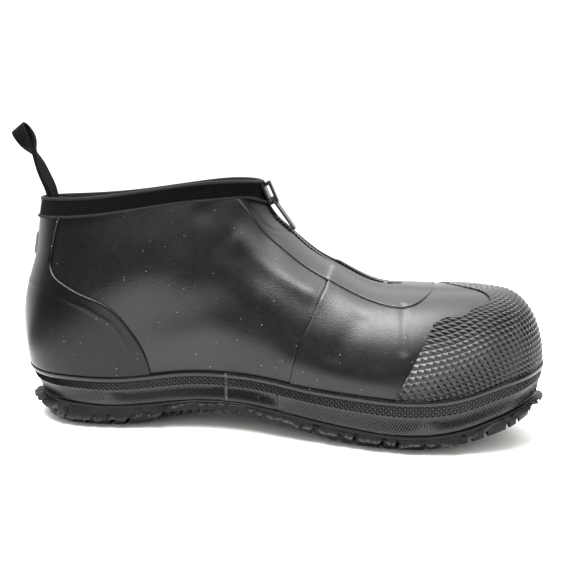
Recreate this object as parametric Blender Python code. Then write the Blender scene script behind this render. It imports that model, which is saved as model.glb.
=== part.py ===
"""Zip-front rubber overshoe for the left foot, standing empty on its sole.

Frame: metres, +X to the toe, +Y to the outer side of the foot, +Z up. The upper is one surface: ribs run from
the sole line up to the ridge (toe to throat) or to the collar (throat to heel), and every overlay is cut from it.
A place on it is a section (0 at the toe tip, 9 at the heel back, inner side negative) and a share of its rib.
"""

import functools
import math

import bmesh
import bpy
import numpy as np
from mathutils import Matrix, Vector
from mathutils.geometry import delaunay_2d_cdt

MM = 0.001

# Driving sizes
LENGTH = 321 * MM  # upper at the sole line, heel to toe
BALL_WIDTH = 113 * MM  # upper at the sole line, across the ball
COLLAR_HEIGHT = 153 * MM  # floor to the front of the collar
WALL = 2.2 * MM  # lined rubber sheet of the upper
GAP = 0.3 * MM  # clearance between pieces that are cemented together

# Sole
SOLE_MARGIN = 4.2 * MM  # outsole edge outside the upper's sole line
SOLE_EDGE = 2.2 * MM  # plain lip along the top of the outsole
LUG_INSET = 2.0 * MM  # lug roots inside the lip
LUG_TAPER = 0.9
LUG_EDGE_RISE = 3.6 * MM  # outer edges of the tread clear the floor
WIDE_LUG = 14.5 * MM
NARROW_LUG = 7.5 * MM
NOTCH = 2.0 * MM
LUG_PATTERN = [(WIDE_LUG / 2, "lug"), (WIDE_LUG / 2, "lug"), (NOTCH, "notch"), (NARROW_LUG, "lug"), (NOTCH, "notch")]
WAIST_RIB = 2.8 * MM
CHEVRON = 7 * MM
SOLE_LANES = [0, 0.17, 0.21, 0.48, 0.52, 0.79, 0.83, 1]  # shares of the width; lugs and grooves take turns
LUG_LANES = [0, 2, 4, 6]
INSOLE_THICKNESS = 3.0 * MM
INSOLE_INSET = 3.4 * MM

# Side band
BAND_THICKNESS = 3.2 * MM
BAND_STEP = 0.7 * MM  # the pyramid rows lie this much below the rib zone
BEAD_THICKNESS = 4.3 * MM
BEAD_HEIGHT = 2.6 * MM
RIB_ZONE_SHARE = 0.5  # lower part of the band, with the fine ribs

# Overlays
CAP_THICKNESS = 2.0 * MM
COUNTER_THICKNESS = 1.6 * MM
FACING_THICKNESS = 1.5 * MM
FACING_SLOT = 4.8 * MM  # half of the open channel along the zip
BINDING_HEIGHT = 11.5 * MM
BINDING_THICKNESS = 1.7 * MM
BINDING_BEAD = 2.6 * MM
BINDING_INSIDE = 6 * MM
BINDING_GAP = 0.6 * MM  # the folded tape is sewn, not cemented flat
BINDING_START = 5.625  # section where the binding stops beside the zip

# Pull loop
TAPE_WIDTH = 10.5 * MM
WEBBING = 1.5 * MM
LOOP_ASIDE = -4  # millimetres to the inner side

# Zip
SLIT_HALF = 3.6 * MM
ZIP_TAPE_HALF = 10 * MM
ZIP_TAPE_THICKNESS = 0.9 * MM
ZIP_TAPE_GAP = 1.4 * MM  # the tape is sewn on inside the wall
TEETH_HALF = 2.5 * MM
TEETH_HEIGHT = 2.0 * MM
TEETH_END_SECTION = 5.18  # under the slider
SLIDER_LENGTH = 15 * MM
SLIDER_SECTION = 5.4
SLIDER_PLATE = (4.4 * MM, 0.3 * MM, 1.4 * MM)  # half width, underside, top
SLIDER_KEEL = (2.4 * MM, -0.6 * MM)  # half width, underside
BRIDGE_HALF = 1.7 * MM
BRIDGE_SPAN = (3.9 * MM, 5.6 * MM)  # underside and top of the bridge
PULL_AXIS = (3.6 * MM, 2.8 * MM)  # down the slope and out from the slider's middle
PULL_PIN = 0.75 * MM
PULL_LENGTH = 24 * MM
PULL_HALF = 3.9 * MM
PULL_THICKNESS = 1.5 * MM
PULL_SLOPE = 54  # degrees below level at rest

# Plan of the upper at the sole line. Along is a share of LENGTH from the heel, out a share of BALL_WIDTH.
FOOT_LINE = [
    # section, inner along, inner out, outer along, outer out
    (0, 1.000, 0.115, 1.000, -0.115),
    (1, 0.966, 0.335, 0.969, 0.115),
    (2, 0.894, 0.438, 0.901, 0.323),
    (3, 0.766, 0.504, 0.782, 0.456),
    (4, 0.617, 0.429, 0.639, 0.496),
    (5, 0.477, 0.319, 0.486, 0.438),
    (6, 0.343, 0.270, 0.340, 0.367),
    (7, 0.194, 0.327, 0.194, 0.341),
    (8, 0.061, 0.270, 0.061, 0.274),
    (9, 0.000, 0.000, 0.000, 0.000),
]
HEEL_SECTION = FOOT_LINE[-1][0]
THROAT_SECTION = 5.5
ZIP_END_SECTION = 3.25

# Top edge of the sections. Up is a share of COLLAR_HEIGHT.
RIDGE_LINE = [
    # section, along, up
    (0, 0.891, 0.595),
    (1, 0.872, 0.599),
    (2, 0.826, 0.599),
    (3, 0.745, 0.593),
    (3.5, 0.688, 0.602),
    (4, 0.627, 0.659),
    (4.5, 0.570, 0.727),
    (5, 0.517, 0.825),
    (5.25, 0.492, 0.882),
    (5.5, 0.469, 0.990),
]
COLLAR_LINE = [
    # section, along, out, up
    (5.5, 0.469, 0.000, 0.990),
    (5.75, 0.448, 0.115, 0.995),
    (6, 0.405, 0.195, 0.993),
    (6.5, 0.337, 0.274, 0.980),
    (7, 0.249, 0.314, 0.953),
    (7.5, 0.168, 0.310, 0.930),
    (8, 0.097, 0.248, 0.919),
    (8.5, 0.045, 0.142, 0.917),
    (9, 0.027, 0.000, 0.917),
]
RIDGE_DRIFT = 12 * MM  # the ridge bends to the inner side at the toe

# Sections from the sole line up: dome 1 arches over to the ridge, 0 stands up to the collar. Swell is in millimetres.
SECTION_SHAPE = [
    # section, dome, squareness, swell
    (0, 1.0, 3.0, 1.0),
    (2, 1.0, 2.8, 1.5),
    (3, 1.0, 2.4, 2.0),
    (4, 1.0, 2.1, 2.0),
    (5, 0.9, 2.0, 2.0),
    (5.5, 0.6, 2.0, 2.0),
    (6.25, 0.0, 2.0, 2.5),
    (7, 0.0, 2.0, 3.5),
    (8, 0.0, 2.0, 4.5),
    (9, 0.0, 2.0, 6.0),
]
SHAFT_PROFILE = [
    # height share, lean from the sole line to the collar, swell
    (0.00, 0.00, 0.00),
    (0.16, 0.02, 0.58),
    (0.38, 0.03, 1.00),
    (0.50, 0.12, 0.92),
    (0.62, 0.36, 0.62),
    (0.72, 0.58, 0.28),
    (0.82, 0.68, 0.06),
    (0.91, 0.79, 0.00),
    (1.00, 1.00, 0.00),
]

# Side view of the sole, in millimetres above the floor.
SOLE_PROFILE = [
    # along, lug bottoms, lug roots, top of the outsole, top of the band
    (0.00, 8.0, 11.5, 16.0, 35.0),
    (0.05, 2.0, 8.0, 15.0, 33.5),
    (0.10, 0.0, 8.0, 15.0, 33.5),
    (0.22, 0.0, 8.0, 15.0, 33.7),
    (0.32, 5.5, 10.5, 18.0, 37.0),
    (0.41, 9.5, 13.0, 19.5, 38.0),
    (0.50, 7.5, 11.5, 18.0, 37.0),
    (0.58, 3.5, 9.0, 15.0, 34.2),
    (0.66, 0.0, 7.0, 12.5, 33.0),
    (0.80, 0.0, 6.5, 11.5, 32.5),
    (0.86, 3.0, 9.0, 14.5, 35.2),
    (0.93, 10.0, 15.5, 22.0, 42.5),
    (1.00, 19.0, 23.5, 28.5, 48.0),
]

# Edges of the overlays, as places on the inner side. The outer side mirrors them.
CAP_BACK_EDGE = [
    # place from the band (0) to the corner (1), section, share of the rib
    (0.0, 3.15, 0.20),
    (0.5, 2.88, 0.42),
    (1.0, 2.65, 0.60),
]
CAP_INNER_TOP = [
    # place from the corner (0) to the ridge (1), section, share of the rib
    (0.00, 2.65, 0.60),
    (0.15, 2.40, 0.645),
    (0.30, 2.00, 0.66),
    (0.45, 1.65, 0.68),
    (0.60, 1.40, 0.74),
    (0.80, 1.42, 0.84),
    (1.00, 1.65, 1.00),
]
CAP_OUTER_TOP = [
    # place from the corner (0) to the ridge (1), section, share of the rib
    (0.00, 2.65, 0.60),
    (0.25, 2.60, 0.72),
    (0.50, 2.40, 0.83),
    (0.75, 2.05, 0.93),
    (1.00, 1.65, 1.00),
]
COUNTER_EDGE = [
    # place from the band (0) to the binding (1), section, share of the rib
    (0.00, 6.50, 0.15),
    (0.20, 6.63, 0.29),
    (0.38, 6.95, 0.46),
    (0.52, 7.45, 0.56),
    (0.64, 7.87, 0.625),
    (0.74, 8.09, 0.70),
    (0.86, 8.08, 0.80),
    (1.00, 7.95, 0.91),
]
FACING_EDGE = [
    # place from the collar (0) to the tip (1), section, share of the rib
    (0.00, 5.80, 0.91),
    (0.12, 5.45, 0.845),
    (0.25, 5.00, 0.85),
    (0.40, 4.55, 0.82),
    (0.55, 4.00, 0.77),
    (0.70, 3.45, 0.73),
    (0.80, 3.10, 0.71),
    (0.90, 2.80, 0.74),
    (0.96, 2.55, 0.83),
    (1.00, 2.40, 1.00),
]

# Pull loop from inside the collar to its fold, in millimetres: place from the heel, height, twist, gap between layers.
LOOP_PATH = [
    # along, up, twist in degrees, gap
    (17.6, 131, 0, 1.2),
    (17.6, 139, 0, 1.4),
    (16.4, 147, 6, 1.8),
    (11.0, 155.3, 12, 1.8),
    (7.8, 164.9, 0, 1.6),
    (3.6, 170.9, -30, 3),
    (-0.9, 177, -62, 5.5),
    (-4.2, 181.8, -82, 6.5),
]

RIB_SAMPLES = 90
COLUMNS_PER_SECTION = 4
UPPER_ROWS = 9


def smooth_curve(knots, values):
    """Natural cubic curve through the rows of a table, as a function of the first column."""
    knots, values = np.asarray(knots, float), np.asarray(values, float)
    step = np.diff(knots)
    slope = np.diff(values) / step
    count = len(knots)
    system, right = np.eye(count), np.zeros(count)
    for i in range(1, count - 1):
        system[i, i - 1 : i + 2] = step[i - 1], 2 * (step[i - 1] + step[i]), step[i]
        right[i] = 6 * (slope[i] - slope[i - 1])
    bend = np.linalg.solve(system, right)

    def value(at):
        at = np.clip(at, knots[0], knots[-1])
        i = np.clip(np.searchsorted(knots, at, side="right") - 1, 0, count - 2)
        after, before = at - knots[i], knots[i + 1] - at
        return (
            (bend[i] * before**3 + bend[i + 1] * after**3) / (6 * step[i])
            + (values[i] / step[i] - bend[i] * step[i] / 6) * before
            + (values[i + 1] / step[i] - bend[i + 1] * step[i] / 6) * after
        )

    return value


def table_curves(table):
    """A curve for each column of a table after the first."""
    rows = np.array(table, float)
    return [smooth_curve(rows[:, 0], rows[:, i]) for i in range(1, rows.shape[1])]


def foot_curves():
    """Plan curves of the sole line. The loop runs three turns, so that its middle turn closes smoothly."""
    inner = [(along * LENGTH, -out * BALL_WIDTH) for _, along, out, _, _ in FOOT_LINE]
    outer = [(along * LENGTH, out * BALL_WIDTH) for _, _, _, along, out in FOOT_LINE]
    turn = inner[::-1] + outer[1:-1]
    knots = np.arange(3 * len(turn)) - len(turn) - HEEL_SECTION
    return [smooth_curve(knots, np.array(turn * 3)[:, axis]) for axis in (0, 1)]


FOOT_X, FOOT_Y = foot_curves()
RIDGE_ALONG, RIDGE_UP = table_curves(RIDGE_LINE)
COLLAR_ALONG, COLLAR_OUT, COLLAR_UP = table_curves(COLLAR_LINE)
SHAFT_LEAN, SHAFT_SWELL = table_curves(SHAFT_PROFILE)
LUG_BOTTOM, LUG_ROOT, SOLE_TOP, BAND_TOP = table_curves(SOLE_PROFILE)


def foot_point(section):
    """Plan point of the sole line."""
    return np.array([FOOT_X(section), FOOT_Y(section)])


def foot_normal(section):
    """Outward plan direction at the sole line."""
    forward = foot_point(section + 0.02) - foot_point(section - 0.02)
    return np.array([forward[1], -forward[0]]) / np.hypot(*forward)


def sole_height(curve, along):
    """Height of a line of the sole's side view, at a place along the foot, never under the floor."""
    return max(0, curve(along / LENGTH)) * MM


def top_point(section):
    """Top edge of a section, on the ridge or on the collar."""
    k, side = abs(section), math.copysign(1, section)
    if k > THROAT_SECTION:
        return np.array([COLLAR_ALONG(k) * LENGTH, side * COLLAR_OUT(k) * BALL_WIDTH, COLLAR_UP(k) * COLLAR_HEIGHT])
    along = RIDGE_ALONG(k)
    drift = RIDGE_DRIFT * np.clip((along - RIDGE_LINE[-1][1]) / 0.4, 0, 1) ** 1.5
    return np.array([along * LENGTH, -drift, RIDGE_UP(k) * COLLAR_HEIGHT])


def wrapped(section):
    return (section + HEEL_SECTION) % (2 * HEEL_SECTION) - HEEL_SECTION


@functools.lru_cache(maxsize=None)
def rib(section):
    """One section of the upper's outer face from the sole line to its top edge: points, and the way up to each."""
    section = wrapped(section)
    foot, top = foot_point(section), top_point(section)
    shape = np.array(SECTION_SHAPE)
    dome, square, swell = (np.interp(abs(section), shape[:, 0], shape[:, i]) for i in (1, 2, 3))
    turn = np.linspace(0, math.pi / 2, RIB_SAMPLES)
    height = turn / turn[-1]
    inward = dome * (1 - np.cos(turn) ** (2 / square)) + (1 - dome) * SHAFT_LEAN(height)
    upward = dome * np.sin(turn) ** (2 / square) + (1 - dome) * height
    floor = sole_height(SOLE_TOP, foot[0]) + GAP
    plan = foot + np.outer(inward, top[:2] - foot) + np.outer(swell * MM * SHAFT_SWELL(upward), foot_normal(section))
    points = np.column_stack([plan, floor + (top[2] - floor) * upward])
    way = np.concatenate([[0], np.cumsum(np.linalg.norm(np.diff(points, axis=0), axis=1))])
    return points, way


def on_rib(section, share):
    points, way = rib(section)
    return np.array([np.interp(share * way[-1], way, points[:, i]) for i in range(3)])


def skin_normal(section, share):
    """Outward normal of the upper. On the closed ridge it has no sideways part."""
    k = abs(wrapped(section))
    if share > 0.999 and k < THROAT_SECTION:
        forward = top_point(max(k - 0.05, 0)) - top_point(k + 0.05)
        normal = np.array([-forward[2], 0, forward[0]])
    else:
        across = on_rib(section + 0.04, share) - on_rib(section - 0.04, share)
        upward = on_rib(section, min(share + 0.02, 1)) - on_rib(section, max(share - 0.02, 0))
        normal = np.cross(across, upward)
    return normal / np.linalg.norm(normal)


def skin(section, share, lift=0.0):
    """Point of the upper's outer face, raised by lift along its normal."""
    return on_rib(section, share) + (lift * skin_normal(section, share) if lift else 0)


def share_below_top(section, distance):
    """Share of a rib at a distance below its top edge."""
    return 1 - distance / rib(section)[1][-1]


def share_at_height(section, height):
    points, way = rib(section)
    return np.interp(height, points[:, 2], way / way[-1])


def above_band(section):
    """Share of a rib just above the sole's side band."""
    return share_at_height(section, sole_height(BAND_TOP, foot_point(section)[0]) + 2 * GAP)


def collar_point(section, below, lift):
    """Point beside the collar edge, below it on the wall or (minus) above it."""
    if below >= 0:
        return skin(section, share_below_top(section, below), lift)
    upward = on_rib(section, 1) - on_rib(section, share_below_top(section, 3 * MM))
    return skin(section, 1, lift) - upward / np.linalg.norm(upward) * below


def material(name, colour, roughness, metallic=0.0):
    made = bpy.data.materials.new(name)
    made.use_nodes = True
    shader = made.node_tree.nodes["Principled BSDF"]
    shader.inputs["Base Color"].default_value = (*colour, 1)
    shader.inputs["Roughness"].default_value = roughness
    shader.inputs["Metallic"].default_value = metallic
    return made


def add_grid(bm, rows, closed=False):
    """Faces between rows of points. Closed joins the end of each row to its start."""
    verts = [[bm.verts.new(point) for point in row] for row in rows]
    faces = []
    for low, high in zip(verts, verts[1:]):
        for i in range(len(low) if closed else len(low) - 1):
            j = (i + 1) % len(low)
            faces.append(bm.faces.new((low[i], low[j], high[j], high[i])))
    return verts, faces


def add_object(name, bm, finish, sharp_degrees=45):
    """Object of a finished bmesh, shaded smooth where faces meet at a shallow angle."""
    bmesh.ops.remove_doubles(bm, verts=bm.verts, dist=1e-6)
    bmesh.ops.dissolve_degenerate(bm, edges=bm.edges, dist=1e-6)
    bmesh.ops.recalc_face_normals(bm, faces=bm.faces)
    mesh = bpy.data.meshes.new(name)
    bm.to_mesh(mesh)
    bm.free()
    mesh.shade_smooth()
    mesh.set_sharp_from_angle(angle=math.radians(sharp_degrees))
    mesh.materials.append(finish)
    made = bpy.data.objects.new(name, mesh)
    bpy.context.scene.collection.objects.link(made)
    return made


def walled_object(name, bm, thickness, finish):
    """Sheet with a wall, outwards (plus) or inwards (minus)."""
    made = add_object(name, bm, finish)
    wall = made.modifiers.new("wall", "SOLIDIFY")
    wall.thickness = abs(thickness)
    wall.offset = math.copysign(1, thickness)
    return made


def sheet_object(name, rows, thickness, finish):
    bm = bmesh.new()
    add_grid(bm, rows)
    return walled_object(name, bm, thickness, finish)


def swept_object(name, profiles, finish, ring=False):
    """Solid through a row of closed profiles. A ring joins the last profile to the first."""
    bm = bmesh.new()
    verts = [[bm.verts.new(point) for point in profile] for profile in profiles]
    for low, high in zip(verts, verts[1:] + verts[:1] if ring else verts[1:]):
        for i in range(len(low)):
            j = (i + 1) % len(low)
            bm.faces.new((low[i], low[j], high[i]))
            bm.faces.new((low[j], high[j], high[i]))
    if not ring:
        bm.faces.new(verts[0])
        bm.faces.new(verts[-1])
    return add_object(name, bm, finish)


def section_steps(start, stop, per_section=COLUMNS_PER_SECTION):
    return np.linspace(start, stop, max(2, round(abs(stop - start) * per_section) + 1))


def upper_columns():
    """Sections of the upper's mesh, with one more on each side where the binding starts."""
    return sorted([*section_steps(-HEEL_SECTION, HEEL_SECTION)[:-1], -BINDING_START, BINDING_START])


COLUMNS = np.array(upper_columns())
TURN = len(COLUMNS)


def columns_between(start, stop):
    """Sections of the upper's mesh between two sections, counted on past the heel."""
    turns = np.concatenate([COLUMNS, COLUMNS + 2 * HEEL_SECTION])
    return turns[(turns > start + 0.01) & (turns < stop - 0.01)]


def upper_top_share(section):
    """Top edge of the wall: the collar, a side of the zip slit, or the closed ridge over the toe."""
    zipped = ZIP_END_SECTION <= abs(section) <= THROAT_SECTION
    return share_below_top(section, SLIT_HALF) if zipped else 1.0


@functools.lru_cache(maxsize=None)
def upper_node(i, j, lift=0.0):
    """Point of the upper's mesh in column i and row j."""
    section = COLUMNS[i % TURN]
    return skin(section, upper_top_share(section) * j / UPPER_ROWS, lift)


def make_upper(finish):
    bm = bmesh.new()
    verts = [[bm.verts.new(upper_node(i, j)) for i in range(TURN)] for j in range(UPPER_ROWS + 1)]
    for low, high in zip(verts, verts[1:]):
        for i in range(TURN):
            j = (i + 1) % TURN
            bm.faces.new((low[i], low[j], high[j]))
            bm.faces.new((low[i], high[j], high[i]))
    return walled_object("upper", bm, -WALL, finish)


def mesh_place(section, share):
    """Column and row of a place on the upper's mesh, counted on past the heel for sections above 9."""
    turns = np.concatenate([COLUMNS, COLUMNS + 2 * HEEL_SECTION])
    tops = np.array([upper_top_share(wrapped(k)) for k in turns])
    column = np.interp(section, turns, np.arange(len(turns)))
    return Vector((column, share / np.interp(section, turns, tops) * UPPER_ROWS))


def on_mesh(place, lift):
    """Point on the flat triangles of the upper's mesh."""
    i, j = min(int(place.x), 2 * TURN - 2), min(int(place.y), UPPER_ROWS - 1)
    f, g = place.x - i, place.y - j
    a, c = upper_node(i, j, lift), upper_node(i + 1, j + 1, lift)
    if f >= g:
        b = upper_node(i + 1, j, lift)
        return a + f * (b - a) + g * (c - b)
    b = upper_node(i, j + 1, lift)
    return a + g * (b - a) + f * (c - b)


def cut_sheet(outline):
    """Triangles of the upper's mesh inside an outline of places, so that an overlay lies flat on the upper."""
    ring = [mesh_place(section, share) for section, share in outline]
    columns = range(int(min(p.x for p in ring)), int(max(p.x for p in ring)) + 2)
    rows = range(int(min(p.y for p in ring)), min(int(max(p.y for p in ring)) + 2, UPPER_ROWS + 1))
    points, edges, number = list(ring), [(i, (i + 1) % len(ring)) for i in range(len(ring))], {}
    for i in columns:
        for j in rows:
            number[i, j] = len(points)
            points.append(Vector((i, j)))
    for i, j in number:
        for other in ((i + 1, j), (i, j + 1), (i + 1, j + 1)):
            if other in number:
                edges.append((number[i, j], number[other]))
    made = delaunay_2d_cdt(points, edges, [range(len(ring))], 0, 0.02)
    return made[0], [face for face, origin in zip(made[2], made[5]) if origin]


def overlay_object(name, outlines, thickness, finish):
    """Overlay cut from the upper's own surface, with its wall outwards."""
    bm = bmesh.new()
    for outline in outlines:
        places, faces = cut_sheet(outline)
        verts = {}
        for face in faces:
            for i in face:
                if i not in verts:
                    verts[i] = bm.verts.new(on_mesh(places[i], GAP))
            bm.faces.new([verts[i] for i in face])
    return walled_object(name, bm, thickness, finish)


def sole_rows():
    """Cuts across the sole, as sections from toe to heel, each with the kind of tread up to the next cut."""
    fine = np.linspace(0, HEEL_SECTION, 400)
    way = np.zeros(len(fine))
    for side in (-1, 1):
        edge = np.array([foot_point(side * k) for k in fine])
        way[1:] += np.cumsum(np.linalg.norm(np.diff(edge, axis=0), axis=1)) / 2
    cuts, place = [], 0.0

    def add(length, kind):
        nonlocal place
        cuts.append((np.interp(place, way, fine), kind))
        place += length

    add(9 * MM, "bar")
    add(NOTCH, "notch")
    heel_breast = np.interp(6.5, fine, way)
    waist = np.interp(5.15, fine, way)
    while place < waist:
        for length, kind in LUG_PATTERN:
            add(length, kind)
    while place < heel_breast:
        add(WAIST_RIB, "bar")
        add(WAIST_RIB, "notch")
    while place < way[-1] - 30 * MM:
        for length, kind in LUG_PATTERN:
            add(length, kind)
    rest = way[-1] - place
    add(rest / 2, "bar")
    add(rest / 2, "bar")
    cuts.append((HEEL_SECTION, "end"))
    return cuts


def sole_edge(section, margin):
    return foot_point(section) + foot_normal(section) * margin


def sole_cut(section, lanes, curve, margin, chevron=0.0):
    """Points across the sole at one cut, from the inner edge to the outer edge."""
    inner, outer = sole_edge(-section, margin), sole_edge(section, margin)
    points = []
    for lane in lanes:
        x, y = inner + (outer - inner) * lane
        bend = chevron * min(1, np.hypot(*(outer - inner)) / BALL_WIDTH) ** 2 * math.sin(math.pi * lane)
        points.append((x - bend, y, sole_height(curve, x)))
    return points


def make_outsole(finish):
    """Plate with a lip, whose underside is cut into lanes and rows. The lugs are drawn down from it."""
    bm = bmesh.new()
    cuts = sole_rows()
    sections = [section for section, _ in cuts]
    root_margin = SOLE_MARGIN - LUG_INSET
    under, faces = add_grid(bm, [sole_cut(s, SOLE_LANES, LUG_ROOT, root_margin, CHEVRON) for s in sections])
    top, _ = add_grid(bm, [sole_cut(s, (0, 1), SOLE_TOP, SOLE_MARGIN) for s in sections])
    for lane, top_lane, side in ((0, 0, -1), (-1, -1, 1)):
        low = [row[lane] for row in under]
        high = [row[top_lane] for row in top]
        lip = []
        for drop, margin in ((SOLE_EDGE + 1 * MM, root_margin), (SOLE_EDGE, SOLE_MARGIN)):
            plan = [sole_edge(side * s, margin) for s in sections]
            lip.append([bm.verts.new((x, y, sole_height(SOLE_TOP, x) - drop)) for x, y in plan])
        walls = [low, *lip, high]
        for below, above in zip(walls, walls[1:]):
            for i in range(len(sections) - 1):
                bm.faces.new((below[i], below[i + 1], above[i + 1], above[i]))
    lanes = len(SOLE_LANES) - 1
    lugs, bar = [], []
    for row, (_, kind) in enumerate(cuts[:-1]):
        cells = faces[row * lanes : (row + 1) * lanes]
        if kind == "bar":
            bar += cells
        elif bar:
            lugs.append(bar)
            bar = []
        if kind == "lug":
            joined = row and cuts[row - 1][1] == "lug"
            for lane in LUG_LANES:
                if joined:
                    lugs[lane // 2 - len(LUG_LANES)].append(cells[lane])
                else:
                    lugs.append([cells[lane]])
    if bar:
        lugs.append(bar)
    rim = {tuple(np.round(vert.co, 7)) for row in under for vert in (row[0], row[-1])}
    for lug in lugs:
        made = bmesh.ops.extrude_face_region(bm, geom=lug)["geom"]
        bmesh.ops.delete(bm, geom=lug, context="FACES_ONLY")
        feet = [item for item in made if isinstance(item, bmesh.types.BMVert)]
        middle = sum((foot.co for foot in feet), Vector()) / len(feet)
        for foot in feet:
            at_rim = tuple(np.round(foot.co, 7)) in rim
            foot.co = middle + (foot.co - middle) * LUG_TAPER
            bottom, root = (sole_height(curve, foot.co.x) for curve in (LUG_BOTTOM, LUG_ROOT))
            foot.co.z = bottom + at_rim * min(LUG_EDGE_RISE, 0.45 * (root - bottom))
    return add_object("outsole", bm, finish, sharp_degrees=30)


def make_insole(finish):
    sections = section_steps(0.06, HEEL_SECTION - 0.06, 2)
    rows = [sole_cut(s, (0, 0.5, 1), SOLE_TOP, -INSOLE_INSET) for s in sections]
    rows = [[(x, y, z + GAP) for x, y, z in row] for row in rows]
    return sheet_object("insole", rows, -INSOLE_THICKNESS, finish)


def make_side_band(finish):
    """Strip around the joint of upper and outsole: rib zone, lower pyramid zone and a bead along the top."""
    profiles = []
    for s in section_steps(-HEEL_SECTION, HEEL_SECTION)[:-1]:
        along = foot_point(s)[0]
        out = Vector((*foot_normal(s), 0))
        low, high = sole_height(SOLE_TOP, along) + GAP, sole_height(BAND_TOP, along)
        edge = sole_height(SOLE_TOP, along + out.x * SOLE_MARGIN) + 2 * GAP
        step = low + (high - low) * RIB_ZONE_SHARE
        outline = [
            (edge, BAND_THICKNESS),
            (step, BAND_THICKNESS),
            (step + 0.5 * MM, BAND_THICKNESS - BAND_STEP),
            (high - BEAD_HEIGHT - 0.4 * MM, BAND_THICKNESS - BAND_STEP),
            (high - BEAD_HEIGHT, BEAD_THICKNESS),
            (high, BEAD_THICKNESS - 0.5 * MM),
            (high, GAP),
            ((low + high) / 2, GAP),
            (low, GAP),
        ]
        profiles.append([Vector(skin(s, share_at_height(s, z))) + out * lift for z, lift in outline])
    return swept_object("side_band", profiles, finish, ring=True)


def edge_places(table, count):
    """Places along an edge of an overlay."""
    section_of, share_of = table_curves(table)
    return [(float(section_of(place)), float(share_of(place))) for place in np.linspace(0, 1, count)]


def inner_side(places):
    return [(-section, share) for section, share in places]


def cap_outline():
    """Toe cap: along the band, up the outer back edge, around the tongue of the vamp and down the inner back edge."""
    back = edge_places(CAP_BACK_EDGE, 7)
    low = back[0][0]
    bottom = [(s, above_band(s)) for s in (-low, *columns_between(-low, low), low)]
    outer, inner = edge_places(CAP_OUTER_TOP, 7), edge_places(CAP_INNER_TOP, 11)
    closed = outer[-1][0]
    ridge = [(s, 1.0) for s in section_steps(closed, -closed)[1:-1]]
    return bottom + back[1:] + outer[1:] + ridge + inner_side(inner[:0:-1]) + inner_side(back[:0:-1])


def make_toe_cap(finish):
    return overlay_object("toe_cap", [cap_outline()], CAP_THICKNESS, finish)


def counter_outline():
    """Heel counter: along the band, up the inner front edge, under the binding and down the outer front edge."""
    edge = edge_places(COUNTER_EDGE, 15)
    low, high = edge[0][0], edge[-1][0]
    turn = 2 * HEEL_SECTION
    bottom = [(s, above_band(s)) for s in (low, *columns_between(low, turn - low), turn - low)]
    top = (high, *columns_between(high, turn - high), turn - high)
    under = [(s, share_below_top(s, BINDING_HEIGHT + GAP)) for s in top]
    return bottom + [(turn - section, share) for section, share in edge[1:-1]] + under[::-1] + edge[-2:0:-1]


def make_heel_counter(finish):
    return overlay_object("heel_counter", [counter_outline()], COUNTER_THICKNESS, finish)


def facing_outline(side):
    """One half of the facing: under the binding, down the edge to the tip, along the ridge and up beside the zip."""
    edge = edge_places(FACING_EDGE, 19)
    closed = ZIP_END_SECTION - 1 / COLUMNS_PER_SECTION
    top = [(s, BINDING_HEIGHT + 2 * GAP) for s in np.linspace(THROAT_SECTION, edge[0][0], 3)[:-1]]
    slot = [(closed, 0)]
    for s in np.linspace(closed, THROAT_SECTION, 11)[1:]:
        slot.append((s, FACING_SLOT * min(1, (s - closed) / (ZIP_END_SECTION - closed)) ** 0.5))
    top, slot = ([(s, share_below_top(side * s, below)) for s, below in line] for line in (top, slot))
    return [(side * section, share) for section, share in (top + edge + slot)[::-side]]


def make_zip_facing(finish):
    return overlay_object("zip_facing", [facing_outline(-1), facing_outline(1)], FACING_THICKNESS, finish)


def make_collar_binding(finish):
    """Tape folded over the collar, with a bead along its lower edge, open at the zip."""
    face = BINDING_THICKNESS
    inside = -WALL - BINDING_GAP
    outline = [
        (BINDING_HEIGHT, BINDING_GAP),
        (BINDING_HEIGHT, BINDING_BEAD),
        (BINDING_HEIGHT - 1.6 * MM, BINDING_BEAD),
        (BINDING_HEIGHT - 2.0 * MM, face),
        (0.8 * MM, face),
        (-0.8 * MM, face + 0.6 * MM),
        (-2.2 * MM, face - 0.6 * MM),
        (-1.8 * MM, inside - 1.0 * MM),
        (BINDING_INSIDE, inside - 1.3 * MM),
        (BINDING_INSIDE, inside),
        (-BINDING_GAP, inside),
        (-BINDING_GAP, BINDING_GAP),
    ]
    sections = [*COLUMNS[COLUMNS >= BINDING_START], *COLUMNS[COLUMNS <= -BINDING_START]]
    profiles = [[collar_point(s, below, lift) for below, lift in outline] for s in sections]
    return swept_object("collar_binding", profiles, finish)


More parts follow.
